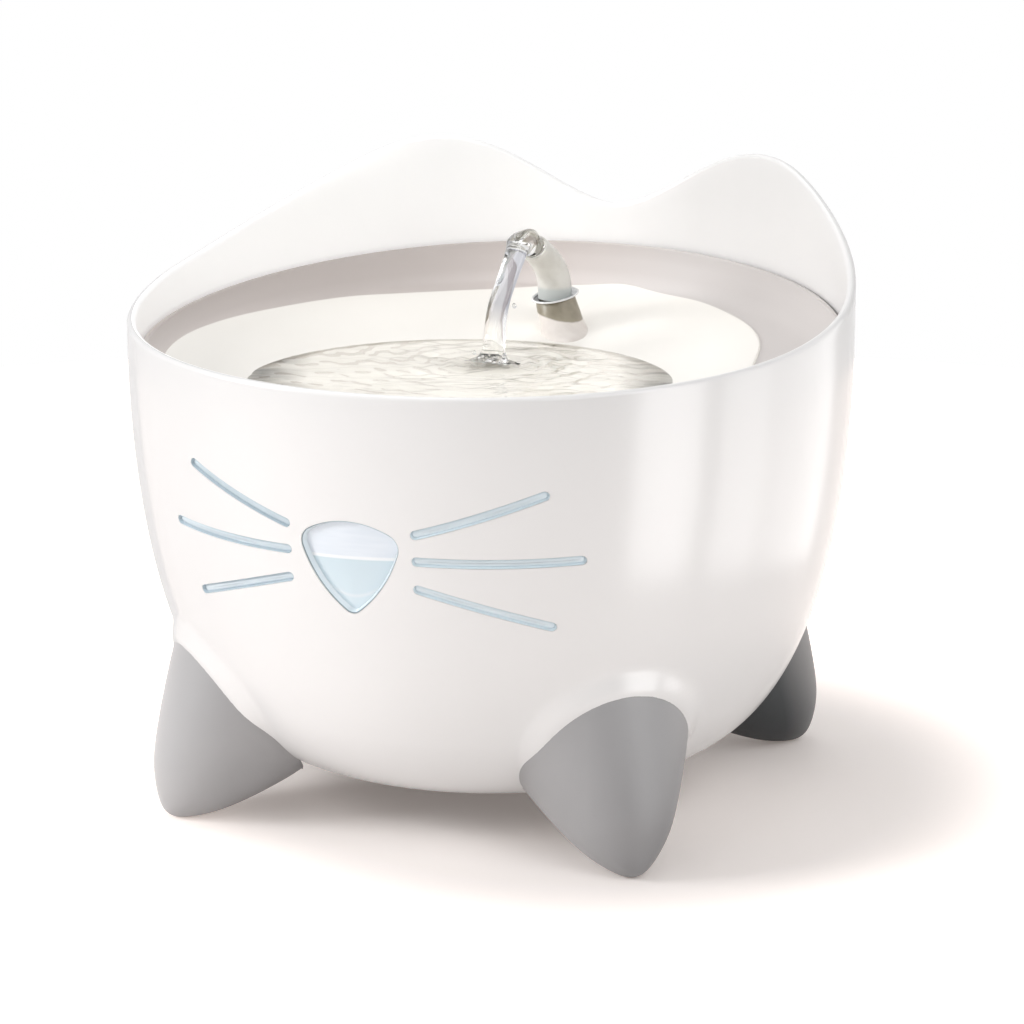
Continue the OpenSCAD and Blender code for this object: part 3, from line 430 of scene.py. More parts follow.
def moulded_group():
    """Colour that drifts a little over the piece, fine grain in the gloss, and a shallow grain bump."""
    group, entry, leave = new_group(
        "moulded_surface",
        (("Colour", "Color", (0.8, 0.8, 0.8, 1)), ("Shade", "Color", (0.7, 0.7, 0.7, 1)),
         ("Drift Scale", "Float", 14.0), ("Drift Low", "Float", 0.35), ("Drift High", "Float", 0.7),
         ("Grain Scale", "Float", 900.0), ("Grain Depth", "Float", 0.02),
         ("Grain Height", "Float", 0.0002), ("Gloss Low", "Float", 0.15), ("Gloss High", "Float", 0.25)),
        (("Colour", "Color"), ("Roughness", "Float"), ("Normal", "Vector")))
    place = own_place(group)
    drift, grain = noise(group, place, entry["Drift Scale"], 3), noise(group, place, entry["Grain Scale"])
    share = ramp(group, drift, entry["Drift Low"], entry["Drift High"])
    bump = node(group, "Bump", {"Height": grain, "Strength": entry["Grain Depth"],
                                "Distance": entry["Grain Height"]})
    feed(leave, {"Colour": blend(group, share, entry["Colour"], entry["Shade"]),
                 "Roughness": ramp(group, grain, 0.0, 1.0, entry["Gloss Low"], entry["Gloss High"]),
                 "Normal": bump.outputs["Normal"]})
    return group


def change_group():
    """Colour that passes over into another one along a direction, from start to end in metres."""
    group, entry, leave = new_group(
        "colour_change",
        (("Colour", "Color", (0.8, 0.8, 0.8, 1)), ("Other Colour", "Color", (0.7, 0.7, 0.7, 1)),
         ("Direction", "Vector", (1, 0, 0)), ("Start", "Float", 0.0), ("End", "Float", 0.1)),
        (("Colour", "Color"),))
    along = measure(group, "DOT_PRODUCT", own_place(group), entry["Direction"])
    share = ramp(group, along, entry["Start"], entry["End"])
    feed(leave, {"Colour": blend(group, share, entry["Colour"], entry["Other Colour"])})
    return group


MOULDED, COLOUR_CHANGE = moulded_group(), change_group()
RIGHT, ALONG_X, ALONG_Z = (RIGHT_X, RIGHT_Y, 0), (1, 0, 0), (0, 0, 1)


def plain_shader(name):
    """A new material, its node tree and its Principled shader."""
    material = bpy.data.materials.new(name)
    material.use_nodes = True
    return material, material.node_tree, material.node_tree.nodes["Principled BSDF"]


def moulded(name, colour, shade, gloss=(0.15, 0.25), grain=900.0, depth=0.02, drift=14.0, coat=0.0,
            metallic=0.0):
    """Moulded plastic, rubber, ceramic or metal: the moulded surface group in a Principled shader."""
    material, tree, shader = plain_shader(name)
    made = node(tree, "Group", {
        "Colour": colour, "Shade": shade, "Drift Scale": drift, "Grain Scale": grain,
        "Grain Depth": depth, "Gloss Low": gloss[0], "Gloss High": gloss[1]}, node_tree=MOULDED).outputs
    feed(shader, {"Base Color": made["Colour"], "Roughness": made["Roughness"], "Normal": made["Normal"],
                  "Metallic": metallic, "Coat Weight": coat, "Coat Roughness": 0.06})
    return material


def clear(name, colour, shade, roughness, ior, drift, weight=1.0, grain=None):
    """Glass, frosted plastic or water: its tint drifts between two colours; grain is (scale, depth)."""
    material, tree, shader = plain_shader(name)
    made = node(tree, "Group", {"Colour": colour, "Shade": shade, "Drift Scale": drift,
                                "Drift Low": 0.4, "Drift High": 0.65}, node_tree=MOULDED)
    feed(shader, {"Base Color": made.outputs["Colour"], "Roughness": roughness, "IOR": ior,
                  "Transmission Weight": weight})
    if grain:
        feed(made, {"Grain Scale": grain[0], "Grain Depth": grain[1], "Grain Height": 0.001})
        feed(shader, {"Normal": made.outputs["Normal"]})
    return material


def tinted(name, roughness, ior=1.5, transmission=0.0, coat=0.0):
    """A surface whose colour comes from its piece's own formula, point by point."""
    material, tree, shader = plain_shader(name)
    feed(shader, {"Base Color": node(tree, "Attribute", attribute_name="tint").outputs["Color"],
                  "Roughness": roughness, "IOR": ior, "Transmission Weight": transmission,
                  "Coat Weight": coat})
    return material


def change_along(material, direction, colour, start, end):
    """Let a material's colour pass over to another one along a direction, from start to end in metres."""
    tree = material.node_tree
    shader = tree.nodes["Principled BSDF"]
    made = node(tree, "Group", {"Colour": shader.inputs["Base Color"].links[0].from_socket,
                                "Other Colour": colour, "Direction": direction, "Start": start,
                                "End": end}, node_tree=COLOUR_CHANGE)
    feed(shader, {"Base Color": made.outputs["Colour"]})


def paint_left_edge_shade(material):
    """Painted shade: where the left flank is seen at a grazing angle it turns a little greyer, and there it
    mirrors less.
    """
    tree = material.node_tree
    shader = tree.nodes["Principled BSDF"]
    flank = ramp(tree, measure(tree, "DOT_PRODUCT", own_place(tree), RIGHT), -0.03, -0.09)
    grazing = ramp(tree, node(tree, "LayerWeight").outputs["Facing"], 0.20, 0.80)
    share = calculate(tree, "MULTIPLY", flank, grazing)
    before = shader.inputs["Base Color"].links[0].from_socket
    feed(shader, {"Base Color": blend(tree, share, before, (0.66, 0.655, 0.655)),
                  "Specular IOR Level": ramp(tree, share, 0.0, 1.0, 0.5, 0.0)})


def painted_glow_on_the_left(material, start, end, level):
    """Painted light: a faint glow of the material's own that grows from start to end in x."""
    tree = material.node_tree
    glow = node(tree, "Group", {"Colour": (0, 0, 0), "Other Colour": (1, 1, 1), "Direction": ALONG_X,
                                "Start": start, "End": end}, node_tree=COLOUR_CHANGE)
    feed(tree.nodes["Principled BSDF"], {"Emission Color": glow.outputs["Colour"],
                                         "Emission Strength": level})


SHELL_WHITE = moulded("shell_gloss_white", (0.87, 0.86, 0.855), (0.855, 0.845, 0.84), (0.20, 0.22),
                      1400, 0.0, 6.0)
# Painted shade on the outside: darker towards the bottom near the floor, and greyer along the left flank
# where it is seen at a grazing angle.
change_along(SHELL_WHITE, ALONG_Z, (0.76, 0.75, 0.745), 0.042, 0.016)
paint_left_edge_shade(SHELL_WHITE)
# Painted light and shade: the inside is a lighter copy of the outside's white, painted darker towards the
# right, with a glow of its own on the left.
SHELL_INSIDE_PAINTED_LIGHT = moulded("shell_inner_painted_light", (0.97, 0.965, 0.96), (0.955, 0.95, 0.945), (0.27, 0.29),
                       1400, 0.0, 6.0)
change_along(SHELL_INSIDE_PAINTED_LIGHT, ALONG_X, (0.81, 0.80, 0.795), -0.02, 0.035)
painted_glow_on_the_left(SHELL_INSIDE_PAINTED_LIGHT, 0.03, -0.115, 0.225)
# Painted shade: the whole tray is a darker greige standing in for the shade on its sloped wall, and its tone
# shifts a little towards the right.
BAND_PAINTED_SHADE = moulded("tray_wall_painted_shade", (0.58, 0.525, 0.50), (0.56, 0.505, 0.48), (0.30, 0.38),
                      1200, 0.03, 9.0)
change_along(BAND_PAINTED_SHADE, ALONG_X, (0.56, 0.525, 0.51), -0.015, 0.03)
FLOOR_CREAM = moulded("tray_floor_cream", (0.93, 0.905, 0.855), (0.91, 0.88, 0.825), (0.25, 0.27),
                      1200, 0.0, 12.0)
FRONT_FOOT_LIT_AND_SHADED = moulded("foot_grey_painted_light_and_shade", (0.37, 0.365, 0.37), (0.335, 0.33, 0.335), (0.42, 0.55),
                          2600, 0.10, 22.0)
# Painted shade and light on the front feet: darker towards the camera's right, and a painted highlight
# lightening them towards the left flank.
change_along(FRONT_FOOT_LIT_AND_SHADED, RIGHT, (0.235, 0.231, 0.235), 0.030, 0.054)
change_along(FRONT_FOOT_LIT_AND_SHADED, RIGHT, (0.46, 0.455, 0.46), -0.085, -0.115)


def back_foot_painted_shade(hand, side):
    """Soft grey with painted shade, near black towards the bowl and lighter outwards, for one back foot."""
    material = moulded("foot_shaded_" + hand, (0.022, 0.026, 0.029), (0.018, 0.021, 0.024), (0.5, 0.6),
                       2600, 0.10, 22.0)
    change_along(material, (0.6 * side, 0.8, 0.5), (0.24, 0.236, 0.235), 0.103, 0.131)
    return material


FOOT_FINISH = {"foot_front_left": FRONT_FOOT_LIT_AND_SHADED, "foot_front_right": FRONT_FOOT_LIT_AND_SHADED,
               "foot_back_left": back_foot_painted_shade("left", -1), "foot_back_right": back_foot_painted_shade("right", 1)}


# ---- Bowl ----------------------------------------------------------------------------------------

def bowl_shell():
    """Outside, rounded rim, inside, ledge and floor as one loop of rows, with the windows cut out.

    Rows below the tray keep their height all round. Rows above it are spread up to the rim's height.
    """
    columns = 384
    angle = -np.pi + np.arange(columns) * TAU / columns
    edge = rim_height(angle) - SHELL_WALL / 2
    fixed_top = 135.0
    out_z = BASE_Z + (fixed_top - BASE_Z) * np.linspace(0, 1, 86) ** 1.5
    rows = [around(angle, 0.5 * (PLATE_R + wall_radius(BASE_Z)), BASE_Z)]
    first_out = len(rows)
    rows += [outer_points(angle, z) for z in out_z]
    for t in np.linspace(0, 1, 13)[1:]:
        z = fixed_top + (edge - fixed_top) * t
        rows.append(around(angle, wall_radius(z), z))
    middle, half = SHELL_R - SHELL_WALL / 2, SHELL_WALL / 2
    for turn in np.linspace(0, np.pi, 11)[1:-1]:
        rows.append(around(angle, middle + half * np.cos(turn), edge + half * np.sin(turn)))
    for t in np.linspace(1, 0, 13):
        z = LEDGE_Z + (edge - LEDGE_Z) * t
        rows.append(around(angle, wall_radius(z, SHELL_WALL), z))
    under = LEDGE_Z - LEDGE_T
    rows += [around(angle, LEDGE_R, LEDGE_Z), around(angle, LEDGE_R, under)]
    in_z = FLOOR_Z + (under - FLOOR_Z) * np.linspace(1, 0, 53) ** 1.6
    first_in = len(rows)
    rows += [around(angle, wall_radius(z, SHELL_WALL), z) for z in in_z]
    rows += [around(angle, OPENING_R, FLOOR_Z), around(angle, OPENING_R, RECESS_Z),
             around(angle, PLATE_R, RECESS_Z), around(angle, PLATE_R, BASE_Z)]
    points = np.stack(rows).reshape(-1, 3)
    quads = loop_quads(len(rows), columns, closed_rows=True)

    face_columns = np.nonzero(np.abs(angle) <= math.radians(41))[0]
    face_low, face_high = 79.0, 131.0
    outlines = [nose_outline(WINDOW_GAP)] + [
        whisker_outline(a, b, sag, WHISKER_W / 2 + WINDOW_GAP, side)
        for a, b, sag in WHISKERS for side in (1, -1)]
    blank = np.zeros(len(quads), bool).reshape(len(rows), columns)
    extra, triangles, rims = [], [], []
    total = len(points)
    for start, heights, inset in ((first_out, out_z, 0.0), (first_in, in_z, SHELL_WALL)):
        picked = np.nonzero((heights > face_low) & (heights < face_high))[0]
        picked = picked[np.argsort(heights[picked])]
        flat_out = [np.stack([np.arcsin(o[:, 0] / wall_radius(o[:, 1], inset)) * SHELL_R, o[:, 1]], -1)
                    for o in outlines]
        panel, tris, rim = pierced_panel(
            angle[face_columns] * SHELL_R, heights[picked], flat_out, 1.3,
            (start + picked)[:, None] * columns + face_columns, total)
        total += len(panel)
        extra.append(around(panel[:, 0] / SHELL_R, wall_radius(panel[:, 1], inset), panel[:, 1]))
        triangles.append(tris if inset == 0.0 else tris[:, ::-1])
        rims.append(rim)
        blank[start + picked.min():start + picked.max(), face_columns[0]:face_columns[-1]] = True
    points = np.vstack([points] + extra)
    faces = quads[~blank.reshape(-1)].tolist() + np.vstack(triangles).tolist()
    return points, faces + hole_walls(*rims)


def faces_inside(points, faces):
    """True for the faces that lie nearer to the bowl's inside than to its outside."""
    middles = np.array([points[list(f)].mean(0) for f in faces])
    return np.hypot(middles[:, 0], middles[:, 1]) < wall_radius(middles[:, 2]) - SHELL_WALL / 2


SHELL = bowl_shell()
make_piece("bowl_shell", SHELL, "base", ("outer_shell",), [SHELL_WHITE, SHELL_INSIDE_PAINTED_LIGHT],
           finish=faces_inside(*SHELL))


def socket_boss():
    """Short round boss at the back for the supply inlet, flaring into the bowl's underside."""
    y = np.array([80.0, 84, 88, 90, 91.5, 92.16, 92.16, 80.0])
    r = np.array([8.2, 7.6, 7.2, 7.05, 7.0, 6.6, 5.0, 5.0])
    turn = np.arange(64) * TAU / 64
    rings = np.stack([r[:, None] * np.cos(turn), y[:, None] + 0 * turn,
                      SOCKET_Z + r[:, None] * np.sin(turn)], -1)
    return rings.reshape(-1, 3), loop_quads(len(y), 64, closed_rows=True).tolist()


make_piece("socket_boss", socket_boss(), "base", ("outer_shell",), [SHELL_WHITE])

# ---- Feet ----------------------------------------------------------------------------------------

def foot_surface(degrees, columns=120, stations=64):
    """A smooth hull of an oval seat, a belly ball and a tip ball.

    For each direction n the three bodies' farthest points are averaged with weights
    exp(h / softness), where h is how far each reaches along n, and crowding draws the blend back in
    where the bodies share it. Each meridian from the tip is followed until it meets the bowl, and is
    then divided by length, a little closer near the tip.
    """
    a = math.radians(degrees)
    radial, tangent = np.array([math.sin(a), -math.cos(a), 0]), np.array([math.cos(a), math.sin(a), 0])
    normal = bowl_normal(a, np.float64(FOOT_SEAT_Z))
    uphill = np.cross(normal, tangent)
    seat = around(a, wall_radius(FOOT_SEAT_Z), FOOT_SEAT_Z) - normal * FOOT_SINK
    tip = radial * FOOT_TIP_R + [0, 0, FOOT_TIP_BALL - TIP_CUT]
    belly = radial * (FOOT_TIP_R - BELLY_IN) + [0, 0, FOOT_TIP_BALL - TIP_CUT + BELLY_UP]
    axis = (tip - seat) / np.linalg.norm(tip - seat)
    side = tangent - axis * (tangent @ axis)
    side /= np.linalg.norm(side)
    third = np.cross(axis, side)
    lift = np.radians(np.linspace(0.0, 176, 420))[:, None, None]
    turn = (np.arange(columns) * TAU / columns)[None, :, None]
    n = np.cos(lift) * axis + np.sin(lift) * (np.cos(turn) * side + np.sin(turn) * third)
    su, sv = FOOT_HALF_W * (n @ tangent), FOOT_HALF_H * (n @ uphill)
    spread = np.sqrt(su * su + sv * sv) + 1e-9
    oval = seat + ((FOOT_HALF_W * su)[..., None] * tangent
                   + (FOOT_HALF_H * sv)[..., None] * uphill) / spread[..., None]
    far = [oval, belly + FOOT_BELLY_R * n, tip + FOOT_TIP_BALL * n]
    reach = np.stack([(p * n).sum(-1) for p in far])
    softness, crowding = 1.1, 1.6
    top = reach.max(0)
    weight = np.exp((reach - top) / softness)
    total = weight.sum(0)
    h = top + softness * np.log(total / crowding)
    weight = weight / total
    x = sum(w[..., None] * p for w, p in zip(weight, far))
    x = x + (h - (weight * reach).sum(0))[..., None] * n
    wall = np.where(x[..., 2] > BASE_Z, wall_radius(x[..., 2]), 0)
    gaps = np.hypot(x[..., 0], x[..., 1]) - wall - land_height(x) + 0.5
    rings = np.empty((stations, columns, 3))
    share = np.linspace(0, 1, stations) ** 1.15
    for c in range(columns):
        cut = int(np.argmax(gaps[:, c] < 0)) or len(gaps) - 1
        f = gaps[cut - 1, c] / (gaps[cut - 1, c] - gaps[cut, c])
        line = np.vstack([x[:cut, c], x[cut - 1, c] * (1 - f) + x[cut, c] * f])
        run = np.concatenate([[0], np.cumsum(np.linalg.norm(np.diff(line, axis=0), axis=1))])
        for d in range(3):
            rings[:, c, d] = np.interp(share * run[-1], run, line[:, d])
    seam = rings[-1]
    hub = seam.mean(0)
    caps = []
    for f in (0.7, 0.35):
        p = hub + (seam - hub) * f
        turn_to = np.arctan2(p[:, 0], -p[:, 1])
        caps.append(around(turn_to, wall_radius(p[:, 2]) - 0.6, p[:, 2]))
    turn_hub = math.atan2(hub[0], -hub[1])
    pole = around(turn_hub, wall_radius(hub[2]) - 0.6, hub[2])
    rings = np.concatenate([rings[1:], np.stack(caps)])
    rings[..., 2] = np.maximum(rings[..., 2], 0)
    start = x[0, 0].copy()
    start[2] = max(start[2], 0)
    return capped_tube(rings, start, pole)


for foot, degrees in FOOT_ANGLES.items():
    make_piece(foot + "_shape", foot_surface(degrees), "base", (foot,), [FOOT_FINISH[foot]],
               crease=60)

# ---- Nose and whiskers ----------------------------------------------------------------------------

def nose_finish():
    """Ice-blue window: a near-white upper field with a straight lower edge, which is a painted reflection
    with a painted highlight line along that edge, and a pale arc by the tip.

    Both are worked out from x and z on the face: the field from z - 0.03 x, the arc from its distance
    to the parabola z = 92.7 + 0.045 x^2 (millimetres).
    """
    material, tree, shader = plain_shader("nose_ice_blue")
    place = own_place(tree)
    x, _, z = node(tree, "SeparateXYZ", {"Vector": place}).outputs
    level = calculate(tree, "MULTIPLY_ADD", x, -0.03, z)
    stretched = node(tree, "Mapping", {"Vector": place, "Scale": (60, 60, 420)}).outputs["Vector"]
    # Painted reflection: the near-white, streaky upper field; painted highlight: the white line along its
    # lower edge.
    upper = blend(tree, noise(tree, stretched, 1.0), (0.68, 0.75, 0.83), (0.83, 0.88, 0.94))
    highlight_line = ramp(tree, level, 0.1057, 0.1061, 0.75, 0.0)
    highlighted = blend(tree, highlight_line, upper, (0.92, 0.95, 0.97))
    lower = blend(tree, ramp(tree, z, 0.089, 0.106), (0.68, 0.80, 0.87), (0.60, 0.73, 0.80))
    fields = blend(tree, ramp(tree, level, 0.1047, 0.1051), lower, highlighted)
    square = calculate(tree, "MULTIPLY", x, x)
    away = calculate(tree, "SUBTRACT", z, calculate(tree, "MULTIPLY_ADD", square, 45.0, 0.0927))
    arc = ramp(tree, calculate(tree, "ABSOLUTE", away), 0.0, 0.0009, 0.85, 0.0)
    ends = ramp(tree, square, 0.00003, 0.0001, 1.0, 0.0)
    pale = blend(tree, calculate(tree, "MULTIPLY", arc, ends), fields, (0.76, 0.83, 0.88))
    feed(shader, {"Base Color": pale, "Roughness": 0.08, "Coat Weight": 0.6})
    return material


NOSE_BLUE = nose_finish()
BEVEL_BLUE = tinted("bevel_ice_blue", 0.1, coat=0.5)
WHISKER_BLUE = moulded("whisker_ice_blue", (0.54, 0.63, 0.69), (0.60, 0.69, 0.75), (0.10, 0.16),
                       700, 0.0, 60.0, coat=0.5)
# Painted light: the whiskers on the right are lighter than those on the left.
change_along(WHISKER_BLUE, ALONG_X, (0.76, 0.85, 0.90), -0.02, 0.02)


def nose_bevel():
    """A slope from the shell down into the recess, along the nose's outline, and a tint for its points: pale
    blue, with a fine grey-blue line at its outer edge and painted shade that darkens that line towards the
    lower left.
    """
    steps = [(0.0, -3.0), (0.0, -0.12), (-0.1, 0.0), (-0.22, -0.15), (-0.30, -0.45), (-0.72, -1.95),
             (-0.8, -2.05), (-0.8, -3.0)]
    outline = nose_outline()
    rings = [on_face(nose_outline(grow), np.full(len(outline), height)) for grow, height in steps]
    # Painted shade: the edge line darkens towards the lower left.
    shade = np.clip(0.5 + 0.5 * (-outline[:, 0] / 13 - (outline[:, 1] - 103) / 22), 0, 1)[:, None]
    line = np.array([0.56, 0.66, 0.72]) * (1 - shade) + np.array([0.20, 0.27, 0.30]) * shade
    pale = np.array([0.78, 0.87, 0.92]) + 0 * line
    tint = np.stack([line, line, line, line, pale, pale, pale, pale])
    return (np.stack(rings).reshape(-1, 3),
            loop_quads(len(rings), len(outline), closed_rows=True).tolist(), tint.reshape(-1, 3))


def nose_face():
    """A shallow dome inside the bevel: rings that shrink from the outline towards the middle."""
    middle, edge = np.array([0.0, 104.0]), nose_outline(-0.8)
    rings = [on_face(edge, np.full(len(edge), -3.0))]
    for f in (0.998, 0.985, 0.97, 0.94, 0.88, 0.78, 0.64, 0.5, 0.36, 0.22, 0.1):
        rings.append(on_face(middle + (edge - middle) * f, np.full(len(edge), -2.05 + 0.7 * (1 - f * f))))
    return capped_tube(np.stack(rings), on_face(middle[None], np.array([-3.0]))[0],
                       on_face(middle[None], np.array([-1.35]))[0])


make_piece("nose_window", nose_face(), "base", ("nose_lens",), [NOSE_BLUE], crease=24)
make_piece("nose_bevel_ring", nose_bevel(), "base", ("nose_lens",), [BEVEL_BLUE], crease=24)


def whisker_shape(start, end, sag, side):
    """A bar with round ends, set back: a slope down from the shell, and a low rounded crown inside."""
    steps = [(0.0, -3.0), (0.0, -0.08), (0.05, 0.0), (0.12, -0.1), (0.32, -1.1), (0.38, -1.15), (0.46, -0.98),
             (0.6, -0.9), (0.95, -0.82), (1.35, -0.78)]
    rings = [whisker_outline(start, end, sag, WHISKER_W / 2 - inset, side) for inset, _ in steps]
    rings = np.stack([on_face(r, np.full(len(r), h)) for r, (_, h) in zip(rings, steps)])
    count = rings.shape[1]
    faces = loop_quads(len(rings), count).tolist()
    top = (len(rings) - 1) * count
    faces.append(list(range(count))[::-1])
    faces.append([top + k for k in range(count)])
    return rings.reshape(-1, 3), faces


for side, hand in ((-1, "left"), (1, "right")):
    for (start, end, sag), row in zip(WHISKERS, ("upper", "middle", "lower")):
        make_piece(f"whisker_{hand}_{row}", whisker_shape(start, end, sag, side), "base",
                   (f"whisker_light_{hand}",), [WHISKER_BLUE], crease=20)

# ---- Tray ------------------------------------------------------------------------------------------

def tray_rim_height(y):
    """Height of the tray's edge: it climbs to the back by a power of the distance from the front."""
    return TRAY_FRONT_Z + (TRAY_BACK_Z - TRAY_FRONT_Z) * np.clip((y + TRAY_R) / (2 * TRAY_R), 0, 1) ** 1.6


def tray_top(x, y):
    """Smooth greatest of a shallow paraboloid floor and a tilted cone wall."""
    floor = DISH_Z + (x * x + (y - DISH_Y) ** 2) / (2 * DISH_CURVE)
    mouth = TRAY_R - TRAY_WALL
    wall = tray_rim_height(y) + (np.hypot(x, y) - mouth) * TRAY_WALL_DEPTH / (mouth - TRAY_FLOOR_R)
    return -smooth_min(-floor, -wall, 1.0)


def dish_reach(turn, radius):
    """Distance from the dish's middle to the circle of that radius round the bowl's axis."""
    b = DISH_Y * np.sin(turn)
    return -b + np.sqrt(b * b + radius * radius - DISH_Y * DISH_Y)


def tray_shape():
    """Dish, rounded edge and skirt as one loop of rings round the dish's middle, with drain slots."""
    columns = 240
    turn = np.arange(columns) * TAU / columns - 1.5 * np.pi
    mouth = TRAY_R - TRAY_WALL
    reach, fixed = dish_reach(turn, mouth), 78.0
    levels = np.concatenate([np.linspace(3, 48, 12), np.arange(50, 78.1, 2.0)])

    def ring(rho):
        return rho * np.cos(turn), DISH_Y + rho * np.sin(turn)

    def top_row(rho, drop=0.0):
        x, y = ring(rho)
        return np.stack([x, y, tray_top(x, y) - drop], -1)

    rows = [top_row(rho) for rho in levels]
    for t in np.linspace(0, 1, 19)[1:]:
        rows.append(top_row(fixed + (reach - fixed) * t))
    lip = TRAY_WALL / 2
    for a in np.linspace(np.pi, 0, 9)[1:]:
        x, y = ring(dish_reach(turn, TRAY_R - lip + lip * math.cos(a)))
        mx, my = ring(dish_reach(turn, mouth))
        rows.append(np.stack([x, y, tray_top(mx, my) + lip * 0.6 * math.sin(a)], -1))
    for z in (140.0, SKIRT_Z):
        x, y = ring(dish_reach(turn, TRAY_R))
        rows.append(np.stack([x, y, np.full(columns, z)], -1))
    x, y = ring(dish_reach(turn, mouth))
    rows.append(np.stack([x, y, np.full(columns, SKIRT_Z)], -1))
    inner_reach = dish_reach(turn, mouth - 0.2)
    under = [fixed + (inner_reach - fixed) * t for t in np.linspace(1, 0, 11)[:-1]]
    for rho in under + list(levels[::-1]):
        row = top_row(rho, TRAY_WALL)
        row[:, 2] = np.maximum(row[:, 2], SKIRT_Z + 0.1)
        rows.append(row)
    points = np.stack(rows).reshape(-1, 3)
    quads = loop_quads(len(rows), columns)
    blank = np.zeros((len(rows) - 1, columns), bool)

    shift = (turn + 1.5 * np.pi) % TAU - np.pi
    order = np.argsort(shift)
    picked = order[np.abs(shift[order]) <= math.radians(45)]
    scale = 60.0
    outlines = []
    for i in range(9):
        bar = whisker_outline((54.0, 0), (66.0, 0), 0.0, 1.6)
        a = np.radians((i - 4) * 9.0)
        outlines.append(np.stack([(np.arctan2(bar[:, 1], bar[:, 0]) + a) * scale,
                                  np.hypot(bar[:, 0], bar[:, 1])], -1))
    low, high = int(np.nonzero(levels >= 49)[0][0]), int(np.nonzero(levels <= 72)[0][-1])
    steps = np.arange(high - low + 1)[:, None]
    total, extra, triangles, rims = len(points), [], [], []
    for side in (1, -1):
        base_row = low if side > 0 else len(rows) - 1 - low
        panel, tris, rim = pierced_panel(shift[picked] * scale, levels[low:high + 1], outlines, 0.9,
                                         (base_row + side * steps) * columns + picked, total)
        total += len(panel)
        a, rho = panel[:, 0] / scale - np.pi / 2, panel[:, 1]
        x, y = rho * np.cos(a), DISH_Y + rho * np.sin(a)
        extra.append(np.stack([x, y, tray_top(x, y) - (0 if side > 0 else TRAY_WALL)], -1))
        triangles.append(tris if side > 0 else tris[:, ::-1])
        rims.append(rim)
        a, b = sorted((base_row, base_row + side * (high - low)))
        blank[a:b, picked[:-1]] = True
    points = np.vstack([points] + extra)
    faces = quads[~blank.reshape(-1)].tolist() + np.vstack(triangles).tolist() + hole_walls(*rims)
    last = (len(rows) - 1) * columns
    hub_top, hub_low = len(points), len(points) + 1
    points = np.vstack([points, [[0, DISH_Y, DISH_Z], [0, DISH_Y, DISH_Z - TRAY_WALL]]])
    c = np.arange(columns)
    n = (c + 1) % columns
    faces += np.stack([n, c, np.full(columns, hub_top)], -1).tolist()
    faces += np.stack([last + c, last + n, np.full(columns, hub_low)], -1).tolist()
    return points, faces


make_piece("drinking_tray_shape", tray_shape(), "tray", ("drinking_tray",), [BAND_PAINTED_SHADE])

# Edge of the cream lining, where the tray wall's painted shade ends: angle from the nose, positive towards
# +X, and radius
LINING_EDGE = np.array([
    (-180, 102.8), (-176, 101.6), (-167, 98.9), (-161, 96.2), (-155, 95.7), (-147, 95.8), (-138, 96.6),
    (-130, 99.4), (-120, 100.6), (-110, 102.0), (-99, 104.6), (-85, 107.4), (-69, 109), (-40, 109),
    (0, 109), (40, 104), (70, 96), (90, 89.5), (103, 87.7), (110, 88.8), (119, 91.4), (131, 94.8),
    (140, 96.9), (149, 99.2), (156, 101.4), (162, 101.2), (167, 101.9), (171, 103.6), (174, 104.4),
    (177, 104.2), (180, 102.8)], float)


def lining_shape():
    """Thin cream lining on the dish: its edge radius follows the table, smoothed, and is rounded over."""
    columns = 240
    angle = np.arange(columns) * TAU / columns
    degrees = np.degrees((angle + np.pi) % TAU - np.pi)
    edge = np.interp(degrees, LINING_EDGE[:, 0], LINING_EDGE[:, 1])
    kernel = np.exp(-0.5 * (np.arange(-8, 9) / 2.0) ** 2)
    edge = np.convolve(np.concatenate([edge[-8:], edge, edge[:8]]), kernel / kernel.sum(), "valid")
    edge = np.minimum(edge, TRAY_R - TRAY_WALL - 1.0)
    px, py = edge * np.sin(angle), -edge * np.cos(angle)
    rows = []

    def row(f, lift):
        x, y = px * f, DISH_Y + (py - DISH_Y) * f
        return np.stack([x, y, tray_top(x, y) + lift], -1)

    for f in np.concatenate([np.linspace(0.04, 0.9, 34), np.linspace(0.92, 0.985, 8)]):
        rows.append(row(f, LINING_T))
    for a in np.linspace(90, 0, 6)[1:]:
        rows.append(row(0.985 + 0.009 * math.cos(math.radians(a)), LINING_T * math.sin(math.radians(a))))
    rows += [row(0.994, -0.3), row(0.5, -0.3)]
    middle = tray_top(np.array([0.0]), np.array([DISH_Y]))[0]
    return capped_tube(np.stack(rows), (0, DISH_Y, middle + LINING_T), (0, DISH_Y, middle - 0.3))


make_piece("tray_lining", lining_shape(), "tray", ("drinking_tray",), [FLOOR_CREAM])

# ---- Spout -----------------------------------------------------------------------------------------

NOZZLE_FROSTED = clear("frosted_nozzle", (0.97, 0.955, 0.91), (0.86, 0.84, 0.79), 0.34, 1.4, 170.0,
                       weight=0.3, grain=(210.0, 0.25))
change_along(NOZZLE_FROSTED, ALONG_Z, (0.74, 0.775, 0.76), 0.1592, 0.1578)
RING_POLISHED = tinted("ring_polished", 0.1, coat=0.2)


